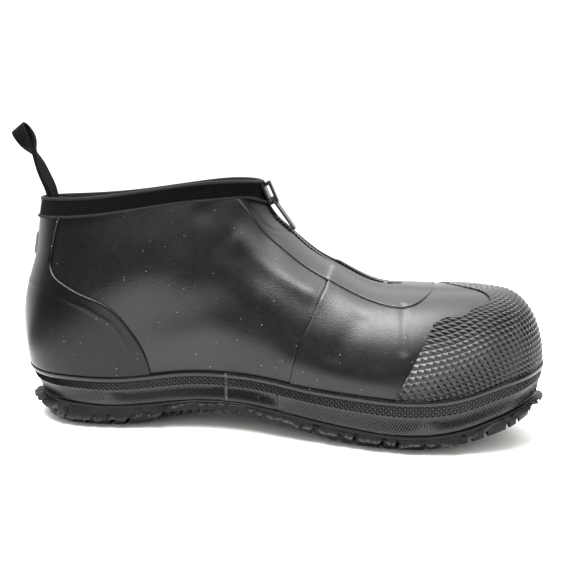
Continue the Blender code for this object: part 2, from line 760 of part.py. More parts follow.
def make_pull_loop(finish):
    """Doubled tape that twists on its way up, as one strip that runs up, over the fold and down."""
    path = np.array(LOOP_PATH)
    way = np.concatenate([[0], np.cumsum(np.hypot(*np.diff(path[:, :2], axis=0).T))])
    along, up, twist, gap = (smooth_curve(way, path[:, i]) for i in range(4))
    strip = []
    for side in (1, -1):
        for place in np.linspace(0, way[-1], 13)[::side]:
            strip.append((place, side * gap(place) / 2))
        if side == 1:
            reach = gap(way[-1]) / 2
            for turn in np.linspace(0, math.pi, 7)[1:-1]:
                strip.append((way[-1] + 1.3 * reach * math.sin(turn), reach * math.cos(turn)))

    def centre(place):
        inside = min(place, way[-1])
        point = np.array([along(inside), LOOP_ASIDE, up(inside)])
        ahead = np.array([along(inside + 1) - along(inside - 1), 0, up(inside + 1) - up(inside - 1)])
        ahead /= np.linalg.norm(ahead)
        angle = math.radians(twist(inside))
        wide = Vector((0, math.cos(angle), 0)) + Vector((-ahead[2], 0, ahead[0])) * -math.sin(angle)
        return Vector(point + ahead * (place - inside)), Vector(ahead), wide

    middles, wides = [], []
    for place, off in strip:
        point, ahead, wide = centre(place)
        middles.append(point + wide.cross(ahead) * off)
        wides.append(wide)
    profiles = []
    for i, (middle, wide) in enumerate(zip(middles, wides)):
        run = middles[min(i + 1, len(middles) - 1)] - middles[max(i - 1, 0)]
        face = run.cross(wide).normalized()
        corners = ((1, 1), (-1, 1), (-1, -1), (1, -1))
        profiles.append([(middle + wide * w * TAPE_WIDTH * 500 + face * f * WEBBING * 500) * MM for w, f in corners])
    return swept_object("pull_loop", profiles, finish)


def beside_ridge(section, aside, lift):
    """Point beside the ridge, at a distance along the surface to the outer (plus) or inner (minus) side."""
    section = math.copysign(section, aside)
    return skin(section, share_below_top(section, abs(aside)), lift)


def make_zip_tape(finish):
    sections = [*section_steps(ZIP_END_SECTION, THROAT_SECTION)[:-1], THROAT_SECTION - 0.08]
    rows = []
    for aside in np.linspace(-1, 1, 7) * ZIP_TAPE_HALF:
        rows.append([beside_ridge(s, aside, -WALL - ZIP_TAPE_GAP) for s in sections])
    return sheet_object("zip_tape", rows, -ZIP_TAPE_THICKNESS, finish)


def make_zip_teeth(finish):
    """Chain of the zip, flat across in the slit."""
    low = -WALL + 0.1 * MM
    half, high = TEETH_HALF, low + TEETH_HEIGHT
    outline = [(-half, low), (-half, high), (half, high), (half, low)]
    profiles = []
    start, stop = ZIP_END_SECTION + 0.08, TEETH_END_SECTION
    for s in [start, *COLUMNS[(COLUMNS > start) & (COLUMNS < stop)], stop]:
        profiles.append([skin(s, 1, lift) + np.array([0, aside, 0]) for aside, lift in outline])
    return swept_object("zip_teeth", profiles, finish)


def add_block(bm, frame, low, high):
    """Box between two corners of a local frame."""
    size = Vector(high) - Vector(low)
    centre = (Vector(high) + Vector(low)) / 2
    place = frame @ Matrix.Translation(centre) @ Matrix.Diagonal((*size, 1))
    return bmesh.ops.create_cube(bm, size=1, matrix=place)["verts"]


def slider_frame():
    """Frame of the slider on the ridge at the throat: down the slope, across, and out from the surface."""
    down = Vector(top_point(5.25) - top_point(THROAT_SECTION)).normalized()
    across = Vector((0, 1, 0))
    out = down.cross(across).normalized()
    return Matrix.Translation(top_point(SLIDER_SECTION)) @ Matrix((down, across, out)).transposed().to_4x4()


def join_solids(blocks, bevel):
    """First of some overlapping blocks, joined with the others, with bevelled edges."""
    made = blocks[0]
    for other in blocks[1:]:
        other.hide_render = True
        other.display_type = "WIRE"
        union = made.modifiers.new("join " + other.name, "BOOLEAN")
        union.operation = "UNION"
        union.solver = "EXACT"
        union.object = other
    add_bevel(made, bevel)
    return made


def add_bevel(made, width):
    edge = made.modifiers.new("edges", "BEVEL")
    edge.width = width
    edge.segments = 1
    edge.angle_limit = math.radians(50)


def make_zip_slider(finish):
    """Body of the slider with the bridge that holds the tab's pin."""
    end = SLIDER_LENGTH / 2
    half, under, top = SLIDER_PLATE
    keel_half, keel_under = SLIDER_KEEL
    low, high = BRIDGE_SPAN
    leg = BRIDGE_HALF - 0.1 * MM
    foot, head = top - 0.5 * MM, low + 0.5 * MM
    corners = {
        "zip_slider": ((-end, -half, under), (end, half, top)),
        "slider keel": ((-end + 1 * MM, -keel_half, keel_under), (end - 1 * MM, keel_half, top - 0.4 * MM)),
        "bridge top leg": ((-end + 0.6 * MM, -leg, foot), (-end + 3 * MM, leg, head)),
        "bridge low leg": ((end - 2 * MM, -leg, foot), (end - 0.4 * MM, leg, head)),
        "bridge bar": ((-end + 0.5 * MM, -BRIDGE_HALF, low), (end - 0.3 * MM, BRIDGE_HALF, high)),
    }
    blocks = []
    for name, (near, far) in corners.items():
        bm = bmesh.new()
        add_block(bm, slider_frame(), near, far)
        blocks.append(add_object(name, bm, finish))
    return join_solids(blocks, 0.3 * MM)


def make_zip_pull_tab(finish):
    """Flat tab with two arms and a pin under the slider's bridge. Its origin is on the pin."""
    frame = slider_frame()
    axis = frame @ Vector((PULL_AXIS[0], 0, PULL_AXIS[1]))
    slope = math.radians(PULL_SLOPE)
    down = Vector((math.cos(slope), 0, -math.sin(slope)))
    across = Vector((0, 1, 0))
    local = Matrix((down, across, down.cross(across))).transposed().to_4x4()
    arm_low, arm_high = BRIDGE_HALF + 0.4 * MM, PULL_HALF
    half = PULL_THICKNESS / 2
    bm = bmesh.new()
    corner = PULL_LENGTH - 2 * MM
    outline = [(-PULL_PIN, arm_high), (5.5 * MM, arm_high), (corner, arm_high), (PULL_LENGTH, arm_high - 2 * MM)]
    outer = outline + [(x, -y) for x, y in outline[::-1]]
    hole = [(PULL_PIN, arm_low), (5 * MM, arm_low), (5 * MM, -arm_low), (PULL_PIN, -arm_low)]
    rings = []
    for z in (-half, half):
        rings.append([[bm.verts.new(local @ Vector((x, y, z))) for x, y in ring] for ring in (outer, hole)])
    for low, high in zip(*rings):
        for i in range(len(low)):
            j = (i + 1) % len(low)
            bm.faces.new((low[i], low[j], high[j], high[i]))
    for big, small in rings:
        bm.faces.new((big[0], big[1], small[1], small[0]))
        bm.faces.new((big[1], big[2], big[5], big[6], small[2], small[1]))
        bm.faces.new((big[2], big[3], big[4], big[5]))
        bm.faces.new((big[6], big[7], small[3], small[2]))
        bm.faces.new((big[7], big[0], small[0], small[3]))
    made = add_object("zip_pull_tab", bm, finish)
    made.location = axis
    add_bevel(made, 0.25 * MM)
    return made


def stand_on_origin(parts):
    """Put the frame's origin under the middle of the whole shoe, on the floor."""
    bpy.context.view_layer.update()
    graph = bpy.context.evaluated_depsgraph_get()
    corners = []
    for part in parts:
        shown = part.evaluated_get(graph)
        corners += [part.matrix_world @ vert.co for vert in shown.data.vertices]
    low = Vector([min(corner[i] for corner in corners) for i in range(3)])
    high = Vector([max(corner[i] for corner in corners) for i in range(3)])
    shift = Vector((-(low.x + high.x) / 2, -(low.y + high.y) / 2, -low.z))
    for item in bpy.data.objects:
        item.location += shift


def main():
    for old in list(bpy.data.objects):
        bpy.data.objects.remove(old)
    rubber = material("black_rubber", (0.03, 0.03, 0.032), 0.45)
    sole_rubber = material("black_sole_rubber", (0.028, 0.028, 0.03), 0.55)
    felt = material("dark_felt", (0.02, 0.02, 0.02), 0.9)
    tape = material("black_woven_tape", (0.022, 0.022, 0.024), 0.75)
    metal = material("black_coated_metal", (0.04, 0.04, 0.042), 0.35, 1.0)
    parts = [
        make_outsole(sole_rubber),
        make_insole(felt),
        make_upper(rubber),
        make_side_band(rubber),
        make_toe_cap(rubber),
        make_heel_counter(rubber),
        make_zip_facing(rubber),
        make_collar_binding(tape),
        make_pull_loop(tape),
        make_zip_tape(tape),
        make_zip_teeth(metal),
        make_zip_slider(metal),
        make_zip_pull_tab(metal),
    ]
    stand_on_origin(parts)


main()
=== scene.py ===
import math

import bpy
import numpy as np
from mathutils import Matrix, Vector
from mathutils.geometry import delaunay_2d_cdt


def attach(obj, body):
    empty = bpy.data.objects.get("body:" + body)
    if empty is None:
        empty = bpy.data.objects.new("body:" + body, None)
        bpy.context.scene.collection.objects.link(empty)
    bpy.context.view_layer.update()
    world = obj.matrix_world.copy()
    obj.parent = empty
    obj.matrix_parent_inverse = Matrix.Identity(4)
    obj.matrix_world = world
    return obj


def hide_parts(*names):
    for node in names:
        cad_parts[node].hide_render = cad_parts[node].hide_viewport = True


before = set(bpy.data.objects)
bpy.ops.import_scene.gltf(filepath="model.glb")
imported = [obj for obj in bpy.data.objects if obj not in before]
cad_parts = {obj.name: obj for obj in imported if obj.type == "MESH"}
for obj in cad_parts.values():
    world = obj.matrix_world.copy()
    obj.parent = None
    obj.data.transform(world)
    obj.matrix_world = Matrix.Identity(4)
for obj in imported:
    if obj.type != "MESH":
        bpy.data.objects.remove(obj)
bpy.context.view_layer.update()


# Upper: one sheet of black rubber with a knitted lining, laid over a last and vulcanised. The vamp is a
# second sheet over the first, whose back edge shows as a low step on both sides. A slit is left open for
# the zip. A place on the last is a section, from 0 at the toe tip to 9 at the heel, and a share of the rib
# that rises there.
MM = 0.001
LENGTH, BALL_WIDTH, COLLAR_HEIGHT = 321 * MM, 113 * MM, 153 * MM
WALL = 2.2 * MM
HEEL, THROAT, ZIP_END = 9, 5.5, 3.25  # sections; those of the inner side are negative
SLIT_HALF = 3.6 * MM
ABOVE_SOLE = 0.3  # millimetres from the outsole to the lower edge
TOE_DRIFT = 12 * MM  # how far the ridge leans to the inner side at the toe
ORIGIN = np.array([157.319, -0.663, 0]) * MM  # the frame's origin, seen from the heel point of the last
FOOT_LINE = np.array([
    # section, inner along, inner out, outer along, outer out
    (0, 1.000, 0.115, 1.000, -0.115),
    (1, 0.966, 0.335, 0.969, 0.115),
    (2, 0.894, 0.438, 0.901, 0.323),
    (3, 0.766, 0.504, 0.782, 0.456),
    (4, 0.617, 0.429, 0.639, 0.496),
    (5, 0.477, 0.319, 0.486, 0.438),
    (6, 0.343, 0.270, 0.340, 0.367),
    (7, 0.194, 0.327, 0.194, 0.341),
    (8, 0.061, 0.270, 0.061, 0.274),
    (9, 0.000, 0.000, 0.000, 0.000),
])
RIDGE_LINE = np.array([
    # section, along, up
    (0, 0.891, 0.599),
    (1, 0.872, 0.599),
    (2, 0.826, 0.599),
    (3, 0.745, 0.593),
    (3.5, 0.688, 0.602),
    (4, 0.627, 0.659),
    (4.5, 0.570, 0.727),
    (5, 0.517, 0.825),
    (5.25, 0.492, 0.882),
    (5.5, 0.469, 0.990),
])
COLLAR_LINE = np.array([
    # section, along, out, up
    (5.5, 0.469, 0.000, 0.990),
    (5.75, 0.448, 0.115, 0.995),
    (6, 0.405, 0.195, 0.993),
    (6.5, 0.337, 0.274, 0.980),
    (7, 0.249, 0.314, 0.953),
    (7.5, 0.168, 0.310, 0.930),
    (8, 0.097, 0.248, 0.919),
    (8.5, 0.045, 0.142, 0.917),
    (9, 0.027, 0.000, 0.917),
])
SECTION_SHAPE = np.array([
    # section, dome, squareness, swell in millimetres
    (0, 1.0, 3.0, 1.0),
    (2, 1.0, 2.8, 1.5),
    (3, 1.0, 2.4, 2.0),
    (4, 1.0, 2.1, 2.0),
    (5, 0.9, 2.0, 2.0),
    (5.5, 0.6, 2.0, 2.0),
    (6.25, 0.0, 2.0, 2.5),
    (7, 0.0, 2.0, 3.5),
    (8, 0.0, 2.0, 4.5),
    (9, 0.0, 2.0, 6.0),
])
SHAFT_PROFILE = np.array([
    # height share, lean from the sole line to the collar, swell
    (0.00, 0.00, 0.00),
    (0.16, 0.02, 0.58),
    (0.38, 0.03, 1.00),
    (0.50, 0.12, 0.92),
    (0.62, 0.36, 0.62),
    (0.72, 0.58, 0.28),
    (0.82, 0.68, 0.06),
    (0.91, 0.79, 0.00),
    (1.00, 1.00, 0.00),
])
SOLE_PROFILE = np.array([
    # along, top of the outsole, top of the band, in millimetres
    (0.00, 16.0, 35.0),
    (0.05, 15.0, 33.5),
    (0.10, 15.0, 33.5),
    (0.22, 15.0, 33.7),
    (0.32, 18.0, 37.0),
    (0.41, 19.5, 38.0),
    (0.50, 18.0, 37.0),
    (0.58, 15.0, 34.2),
    (0.66, 12.5, 33.0),
    (0.80, 11.5, 32.5),
    (0.86, 14.5, 35.2),
    (0.93, 22.0, 42.5),
    (1.00, 28.5, 48.0),
])
TUCK = np.array([(0.7, 2.8), (2.1, 0), (7.1, 0), (8.1, 6.0)])  # section, millimetres the lower edge draws in
TUCK_HEIGHT = 20 * MM
VAMP_EDGE = np.array([
    # share of the rib, section
    (0.00, 4.58),
    (0.20, 4.47),
    (0.41, 4.36),
    (0.53, 4.25),
    (0.65, 4.17),
    (0.74, 4.12),
    (0.86, 4.10),
    (1.00, 4.10),
])
CREASES = [
    # section and share at both ends, half width and depth in millimetres; a minus depth is a ridge
    (-3.05, 0.72, -3.05, 0.45, 2.4, 0.45),
    (-3.62, 0.60, -3.90, 0.38, 7, 0.5),
    (-4.90, 0.70, -5.40, 0.45, 12, 0.7),
    (-6.10, 0.62, -6.70, 0.74, 10, 0.6),
    (-5.70, 0.30, -6.40, 0.22, 14, -0.6),
    (-7.20, 0.70, -7.60, 0.80, 9, 0.5),
    (-6.05, 0.87, -5.50, 0.735, 8, -1.0),
    (-5.50, 0.735, -4.35, 0.69, 9, -1.3),
    (-3.30, 0.28, -4.40, 0.28, 11, -0.8),
    (-4.60, 0.34, -6.30, 0.30, 13, -0.7),
    (-5.10, 0.55, -6.70, 0.60, 26, -2.2),
    (3.10, 0.70, 3.20, 0.42, 3.0, 0.5),
    (3.70, 0.62, 4.00, 0.36, 8, 0.6),
    (5.00, 0.68, 5.50, 0.42, 12, 0.8),
    (6.20, 0.60, 6.80, 0.74, 10, 0.6),
]


def smooth_curve(knots, values):
    """Natural cubic curve through the rows of a table, as a function of the first column."""
    step = np.diff(knots)
    slope = np.diff(values) / step
    count = len(knots)
    system, right = np.eye(count), np.zeros(count)
    for i in range(1, count - 1):
        system[i, i - 1 : i + 2] = step[i - 1], 2 * (step[i - 1] + step[i]), step[i]
        right[i] = 6 * (slope[i] - slope[i - 1])
    bend = np.linalg.solve(system, right)

    def value(at):
        at = np.clip(at, knots[0], knots[-1])
        i = np.clip(np.searchsorted(knots, at, side="right") - 1, 0, count - 2)
        after, before = at - knots[i], knots[i + 1] - at
        return (
            (bend[i] * before**3 + bend[i + 1] * after**3) / (6 * step[i])
            + (values[i] / step[i] - bend[i] * step[i] / 6) * before
            + (values[i + 1] / step[i] - bend[i + 1] * step[i] / 6) * after
        )

    return value


def table_curves(table):
    return [smooth_curve(table[:, 0], table[:, i]) for i in range(1, table.shape[1])]


def foot_curves():
    """Plan curves of the sole line. The loop runs three turns, so that its middle turn closes smoothly."""
    inner = FOOT_LINE[:, 1:3] * (LENGTH, -BALL_WIDTH)
    outer = FOOT_LINE[:, 3:5] * (LENGTH, BALL_WIDTH)
    turn = np.concatenate([inner[::-1], outer[1:-1]])
    knots = np.arange(3.0 * len(turn)) - len(turn) - HEEL
    return [smooth_curve(knots, np.tile(turn[:, axis], 3)) for axis in (0, 1)]


foot_x, foot_y = foot_curves()
ridge_along, ridge_up = table_curves(RIDGE_LINE)
collar_along, collar_out, collar_up = table_curves(COLLAR_LINE)
shaft_lean, shaft_swell = table_curves(SHAFT_PROFILE)
sole_top, band_top = table_curves(SOLE_PROFILE)


def unit(ways):
    return ways / np.linalg.norm(ways, axis=-1, keepdims=True)


def foot_line(section):
    """Plan points of the sole line, and the outward directions there."""
    ahead = np.stack([f(section + 0.02) - f(section - 0.02) for f in (foot_x, foot_y)], axis=-1)
    out = np.stack([ahead[..., 1], -ahead[..., 0]], axis=-1)
    points = np.stack([foot_x(section), foot_y(section)], axis=-1)
    return points, unit(out)


def top_edge(section):
    """Top edge of the sections, on the ridge or on the collar."""
    k, side = np.abs(section), np.where(section < 0, -1, 1)
    size = (LENGTH, BALL_WIDTH, COLLAR_HEIGHT)
    collar = np.stack([collar_along(k), side * collar_out(k), collar_up(k)], -1) * size
    along = ridge_along(k)
    drift = TOE_DRIFT * np.clip((along - RIDGE_LINE[-1, 1]) / 0.4, 0, 1) ** 1.5
    ridge = np.stack([along * LENGTH, -drift, ridge_up(k) * COLLAR_HEIGHT], -1)
    return np.where((k > THROAT)[..., None], collar, ridge)


SECTIONS, SHARES = np.linspace(-HEEL, HEEL, 1441), np.linspace(0, 1, 161)


def look_up(table, at, column=1):
    return np.interp(at, table[:, 0], table[:, column])


def way_along(points, axis=0):
    """Distances along lines of points, from the first point of each."""
    first = np.take(points, [0], axis=axis)
    return np.cumsum(np.linalg.norm(np.diff(points, axis=axis, prepend=first), axis=-1), axis=axis)


def last_ribs():
    """Points of the last on every rib, at even shares of its length, and the lengths."""
    foot, out = foot_line(SECTIONS)
    top = top_edge(SECTIONS)
    k = np.abs(SECTIONS)
    dome, square, swell = (look_up(SECTION_SHAPE, k, i)[:, None] for i in (1, 2, 3))
    turn = np.linspace(0, math.pi / 2, 90)
    height = turn / turn[-1]
    inward = dome * (1 - np.cos(turn) ** (2 / square)) + (1 - dome) * shaft_lean(height)
    upward = dome * np.sin(turn) ** (2 / square) + (1 - dome) * height
    floor = (np.maximum(0, sole_top(foot[:, 0] / LENGTH)) + ABOVE_SOLE) * MM
    bulge = swell * MM * shaft_swell(upward)
    level = (top[:, 2] - floor)[:, None] * upward
    tuck = look_up(TUCK, k)[:, None] * MM * np.clip(1 - level / TUCK_HEIGHT, 0, 1)
    inward, moved = inward[..., None], (bulge - tuck)[..., None]
    plan = (1 - inward) * foot[:, None] + inward * top[:, None, :2] + moved * out[:, None]
    points = np.concatenate([plan, (floor[:, None] + level)[..., None]], axis=-1)
    way = way_along(points, 1)
    ribs = np.empty((len(SECTIONS), len(SHARES), 3))
    for i in range(len(SECTIONS)):
        for axis in range(3):
            ribs[i, :, axis] = np.interp(SHARES * way[i, -1], way[i], points[i, :, axis])
    # The wall is faired where the ribs pass from the ridge to the collar.
    reach = 36
    weight = np.exp(-0.5 * (np.arange(-reach, reach + 1) / 14) ** 2)
    long = np.concatenate([ribs[-reach - 1 : -1], ribs, ribs[1 : reach + 1]])
    fair = sum(w * long[n : n + len(ribs)] for n, w in enumerate(weight / weight.sum()))
    near = np.exp(-(((k - THROAT) / 0.9) ** 4))[:, None] * np.clip((1 - SHARES) / 0.1, 0, 1)
    return ribs + (fair - ribs) * near[..., None], way[:, -1]


RIBS, RIB_LENGTH = last_ribs()


def last_normals():
    """Outward normals of the last. On the closed ridge they have no sideways part."""
    wide = np.concatenate([RIBS[-4:-1], RIBS, RIBS[1:4]])
    tall = np.concatenate([RIBS[:, :1]] * 3 + [RIBS] + [RIBS[:, -1:]] * 3, axis=1)
    normals = np.cross(wide[6:] - wide[:-6], tall[:, 6:] - tall[:, :-6])
    k = np.abs(SECTIONS)
    run = top_edge(np.maximum(k - 0.05, 0)) - top_edge(np.minimum(k + 0.05, THROAT))
    ridge = np.stack([-run[:, 2], 0 * k, run[:, 0]], axis=-1)
    normals[k < THROAT, -1] = ridge[k < THROAT]
    return unit(normals)


NORMALS = last_normals()


def wrapped(section):
    return (section + HEEL) % (2 * HEEL) - HEEL


def smooth_step(low, high, value):
    share = np.clip((value - low) / (high - low), 0, 1)
    return share * share * (3 - 2 * share)


def from_line(x, y, ax, ay, bx, by):
    """Distance of points from a straight line between two ends."""
    dx, dy = bx - ax, by - ay
    share = np.clip(((x - ax) * dx + (y - ay) * dy) / (dx * dx + dy * dy + 1e-12), 0, 1)
    return np.hypot(x - ax - share * dx, y - ay - share * dy)


FLAT = np.array([48.0, 150.0])  # millimetres to a section and to a whole rib, in a flat pattern of the upper


def creases(section, share):
    """Soft troughs and ridges of the worn upper. They die out at the closed ridge."""
    x, y = wrapped(section) * FLAT[0], share * FLAT[1]
    rise = np.zeros(np.shape(x))
    for a, b, c, d, width, depth in CREASES:
        gap = from_line(x, y, a * FLAT[0], b * FLAT[1], c * FLAT[0], d * FLAT[1])
        rise -= depth * MM * np.exp(-((gap / width) ** 2))
    return rise * (1 - smooth_step(0.88, 0.98, share))


def between(table, across, up):
    """Values of a table at shares of its columns and rows, between the four nearest entries."""
    column, row = across * (table.shape[0] - 1), np.clip(up, 0, 1) * (table.shape[1] - 1)
    i = np.clip(column.astype(int), 0, table.shape[0] - 2)
    j = np.minimum(row.astype(int), table.shape[1] - 2)
    f, g = column - i, row - j
    if table.ndim > 2:
        f, g = f[..., None], g[..., None]
    low, high = (table[i, n] * (1 - f) + table[i + 1, n] * f for n in (j, j + 1))
    return low * (1 - g) + high * g


def around_last(section):
    return (section + HEEL) % (2 * HEEL) / (2 * HEEL)


def on_last(section, share, lift=0.0):
    """Points on the last with its creases, raised by lift along the normals."""
    section, share = np.broadcast_arrays(np.asarray(section, float), np.asarray(share, float))
    normal = unit(between(NORMALS, around_last(section), share))
    rise = lift + creases(section, share)
    return between(RIBS, around_last(section), share) - ORIGIN + normal * rise[..., None]


def below_top(section, distance):
    """Share of the ribs at a distance below their top edge."""
    return 1 - distance / np.interp(wrapped(section), SECTIONS, RIB_LENGTH)


# Millimetres: the step, how far it runs out ahead, and the groove behind it.
VAMP_THICKNESS, VAMP_SLOPE, VAMP_GROOVE = 0.8, 14, 0.6


def vamp_step(section, share, soft=0.0):
    """Rise of the vamp's sheet up to its back edge, rolled flat halfway up, and the groove behind it.

    Soft is how far a sheet that covers the edge slopes down behind it, in millimetres."""
    behind = (np.abs(wrapped(section)) - look_up(VAMP_EDGE, share)) * FLAT[0]
    rear = np.exp(-np.maximum(behind, 0) / soft) if soft else behind < 0
    groove = 0 if soft else VAMP_GROOVE * np.exp(-(((behind - 0.3) / 0.45) ** 2))
    rolled = 1 - 0.75 * np.exp(-(((share - 0.56) / 0.12) ** 2))
    ahead = np.exp(np.minimum(behind, 0) / VAMP_SLOPE)
    return MM * rolled * (VAMP_THICKNESS * np.where(behind < 0, ahead, rear) - groove)


def lay(name, columns, rows, place):
    """A flat grid, laid in its place. Place gets the number of every corner along and up the grid."""
    bpy.ops.object.select_all(action="DESELECT")
    bpy.ops.mesh.primitive_grid_add(x_subdivisions=columns, y_subdivisions=rows, size=1, location=(0, 0, 0))
    made = bpy.context.object
    made.name = made.data.name = name
    flat = np.empty(3 * len(made.data.vertices), np.float32)
    made.data.vertices.foreach_get("co", flat)
    flat = flat.reshape(-1, 3) + 0.5
    i, j = np.rint(flat[:, 0] * columns).astype(int), np.rint(flat[:, 1] * rows).astype(int)
    made.data.vertices.foreach_set("co", np.asarray(place(i, j), np.float32).ravel())
    made.data.update()
    return made


def pick(made):
    bpy.ops.object.select_all(action="DESELECT")
    made.select_set(True)
    bpy.context.view_layer.objects.active = made


def close(made, holes=False):
    """Corners that lie together are merged, open ends filled on request, and the faces turned outwards."""
    pick(made)
    bpy.ops.object.mode_set(mode="EDIT")
    bpy.ops.mesh.select_all(action="SELECT")
    bpy.ops.mesh.remove_doubles(threshold=0.01 * MM)
    if holes:
        bpy.ops.mesh.fill_holes(sides=0)
    bpy.ops.mesh.select_all(action="SELECT")
    bpy.ops.mesh.normals_make_consistent(inside=False)
    bpy.ops.object.mode_set(mode="OBJECT")


def apply_modifier(made, kind, **settings):
    pick(made)
    modifier = made.modifiers.new(kind.lower(), kind)
    for name, value in settings.items():
        setattr(modifier, name, value)
    bpy.ops.object.modifier_apply(modifier=modifier.name)


def shade(made, degrees, *finishes):
    """Smooth shading up to an angle, and the finishes in the order of the mesh's material numbers."""
    pick(made)
    bpy.ops.object.shade_smooth_by_angle(angle=math.radians(degrees))
    for finish in finishes:
        made.data.materials.append(finish)


def colour(code):
    """Linear colour of an sRGB hex code."""
    shares = [int(code[i : i + 2], 16) / 255 for i in (1, 3, 5)]
    return (*[s / 12.92 if s <= 0.04045 else ((s + 0.055) / 1.055) ** 2.4 for s in shares], 1)


def link(tree, made, links):
    for socket, (other, output) in links.items():
        tree.links.new(other.outputs[output], made.inputs[socket])


def add_node(tree, kind, settings=None, values=None, links=None):
    """A node with its settings, the values of its sockets, and links from other nodes' outputs."""
    made = tree.nodes.new(kind)
    for name, value in (settings or {}).items():
        setattr(made, name, value)
    for socket, value in (values or {}).items():
        made.inputs[socket].default_value = value
    link(tree, made, links or {})
    return made


def new_finish(name, values):
    """A finish with the constant values of its shader."""
    made = bpy.data.materials.new(name)
    made.use_nodes = True
    shader = made.node_tree.nodes["Principled BSDF"]
    for socket, value in values.items():
        shader.inputs[socket].default_value = value
    return made, made.node_tree, shader


COLOURS = {"data_type": "RGBA"}  # for a node that mixes two colours, which are its sockets 6 and 7


def rubber(name, dark, light, rough, grain, dust, specular=0.5):
    """Black rubber: cloudy, with pale lines painted where the corners mark them, most of them painted
    highlights, finely pebbled and specked with dust.
    """
    made, tree, shader = new_finish(name, {"Specular IOR Level": specular})
    at = {"Vector": (add_node(tree, "ShaderNodeTexCoord"), "Object")}
    cloud = add_node(tree, "ShaderNodeTexNoise", {}, {"Scale": 1 / (22 * MM), "Detail": 4}, at)
    tones = {6: colour(dark), 7: colour(light)}
    tone = add_node(tree, "ShaderNodeMix", COLOURS, tones, {0: (cloud, "Fac")})
    # Pale lines kept with the corners: painted highlights along the vamp's edge and the skirt's rim, and a
    # pale line at the band's splice.
    worn = add_node(tree, "ShaderNodeAttribute", {"attribute_name": "pale_lines_and_highlights"})
    pale = add_node(
        tree, "ShaderNodeMix", COLOURS, {7: colour("#8f8d87")}, {0: (worn, "Fac"), 6: (tone, "Result")}
    )
    # There is one speck to a patch, and the few that show grow to about half a millimetre across.
    patch, radius = 2.2 * MM, 0.24 * MM
    speck = add_node(tree, "ShaderNodeTexVoronoi", {}, {"Scale": 1 / patch}, at)
    draw = add_node(tree, "ShaderNodeSeparateColor", {}, {}, {"Color": (speck, "Color")})
    sizes = {"From Min": 1 - dust, "To Max": radius / patch}
    size = add_node(tree, "ShaderNodeMapRange", {}, sizes, {"Value": (draw, "Red")})
    inside = {0: (speck, "Distance"), 1: (size, "Result")}
    dot = add_node(tree, "ShaderNodeMath", {"operation": "LESS_THAN"}, {}, inside)
    dusty = add_node(
        tree, "ShaderNodeMix", COLOURS, {7: colour("#a8a6a0")}, {0: (dot, "Value"), 6: (pale, "Result")}
    )
    polish = add_node(tree, "ShaderNodeTexNoise", {}, {"Scale": 1 / (5 * MM), "Detail": 3}, at)
    wear = {"From Min": 0.3, "From Max": 0.7, "To Min": rough - 0.02, "To Max": rough + 0.03}
    gloss = add_node(tree, "ShaderNodeMapRange", {}, wear, {"Value": (polish, "Fac")})
    # The real grain is about 0.3 mm, too fine for the picture, so it is drawn a little coarser.
    pebble = add_node(tree, "ShaderNodeTexNoise", {}, {"Scale": 1 / grain, "Detail": 1}, at)
    bump = add_node(
        tree, "ShaderNodeBump", {}, {"Strength": 1.0, "Distance": 0.14 * grain}, {"Height": (pebble, "Fac")}
    )
    link(
        tree,
        shader,
        {"Base Color": (dusty, "Result"), "Roughness": (gloss, "Result"), "Normal": (bump, "Normal")},
    )
    return made


def cloth(name, dark, light, pitch, rough):
    """Dull dark cloth: uneven fibres over a fine weave that breaks up what little light it sends back."""
    made, tree, shader = new_finish(name, {"Roughness": rough, "Specular IOR Level": 0.1})
    at = {"Vector": (add_node(tree, "ShaderNodeTexCoord"), "Object")}
    fibre = add_node(tree, "ShaderNodeTexNoise", {}, {"Scale": 1 / (0.8 * MM), "Detail": 2}, at)
    tones = {6: colour(dark), 7: colour(light)}
    tone = add_node(tree, "ShaderNodeMix", COLOURS, tones, {0: (fibre, "Fac")})
    rib = add_node(tree, "ShaderNodeTexVoronoi", {}, {"Scale": 1 / pitch}, at)
    depth = {"Strength": 0.5, "Distance": 0.2 * pitch}
    bump = add_node(tree, "ShaderNodeBump", {"invert": True}, depth, {"Height": (rib, "Distance")})
    link(tree, shader, {"Base Color": (tone, "Result"), "Normal": (bump, "Normal")})
    return made


# Satin sheet rubber: broad soft highlights that end in a fine sparkle, nearly black where the room is dark.
sheet_rubber = rubber("satin_black_sheet_rubber", "#070708", "#0b0b0b", 0.32, 0.7 * MM, 0.17)
# Knitted lining: dull and dark, so that the inside reads as a deep opening.
lining = cloth("black_knit_lining", "#0f0f10", "#1b1b1c", 1.2 * MM, 0.9)

UPPER_ROWS = 66
STEP_COLUMN = 4.3  # section whose column of corners is drawn to the vamp's back edge
beside_step = STEP_COLUMN + np.array([-1.0, -0.5, -0.12, 0.12, 0.3, 0.6, 1.1]) / FLAT[0]
upper_columns = np.array(sorted([*np.linspace(-HEEL, HEEL, 541), *beside_step, *-beside_step]))


def upper_top(section):
    """Top share of the wall: the collar, a side of the zip slit, or the closed ridge over the toe."""
    k = np.abs(section)
    open_share = smooth_step(ZIP_END - 0.15, ZIP_END + 0.02, k) * np.clip((THROAT + 0.07 - k) / 0.07, 0, 1)
    return below_top(section, SLIT_HALF * open_share)


def upper_place(i, j):
    section = upper_columns[i]
    share = j / UPPER_ROWS * upper_top(section)
    near = np.clip(1 - np.abs(np.abs(section) - STEP_COLUMN) / 0.7, 0, 1) * np.sign(section)
    section = section + near * (look_up(VAMP_EDGE, share) - STEP_COLUMN)
    return on_last(section, share, vamp_step(section, share))


def pale_lines_and_highlights(made, amount):
    """Pale lines painted on the rubber, most of them painted highlights, kept with the corners. Amount gets
    the corners' points.
    """
    flat = np.empty(3 * len(made.data.vertices), np.float32)
    made.data.vertices.foreach_get("co", flat)
    made.data.attributes.new("pale_lines_and_highlights", "FLOAT", "POINT").data.foreach_set("value", amount(flat.reshape(-1, 3)))


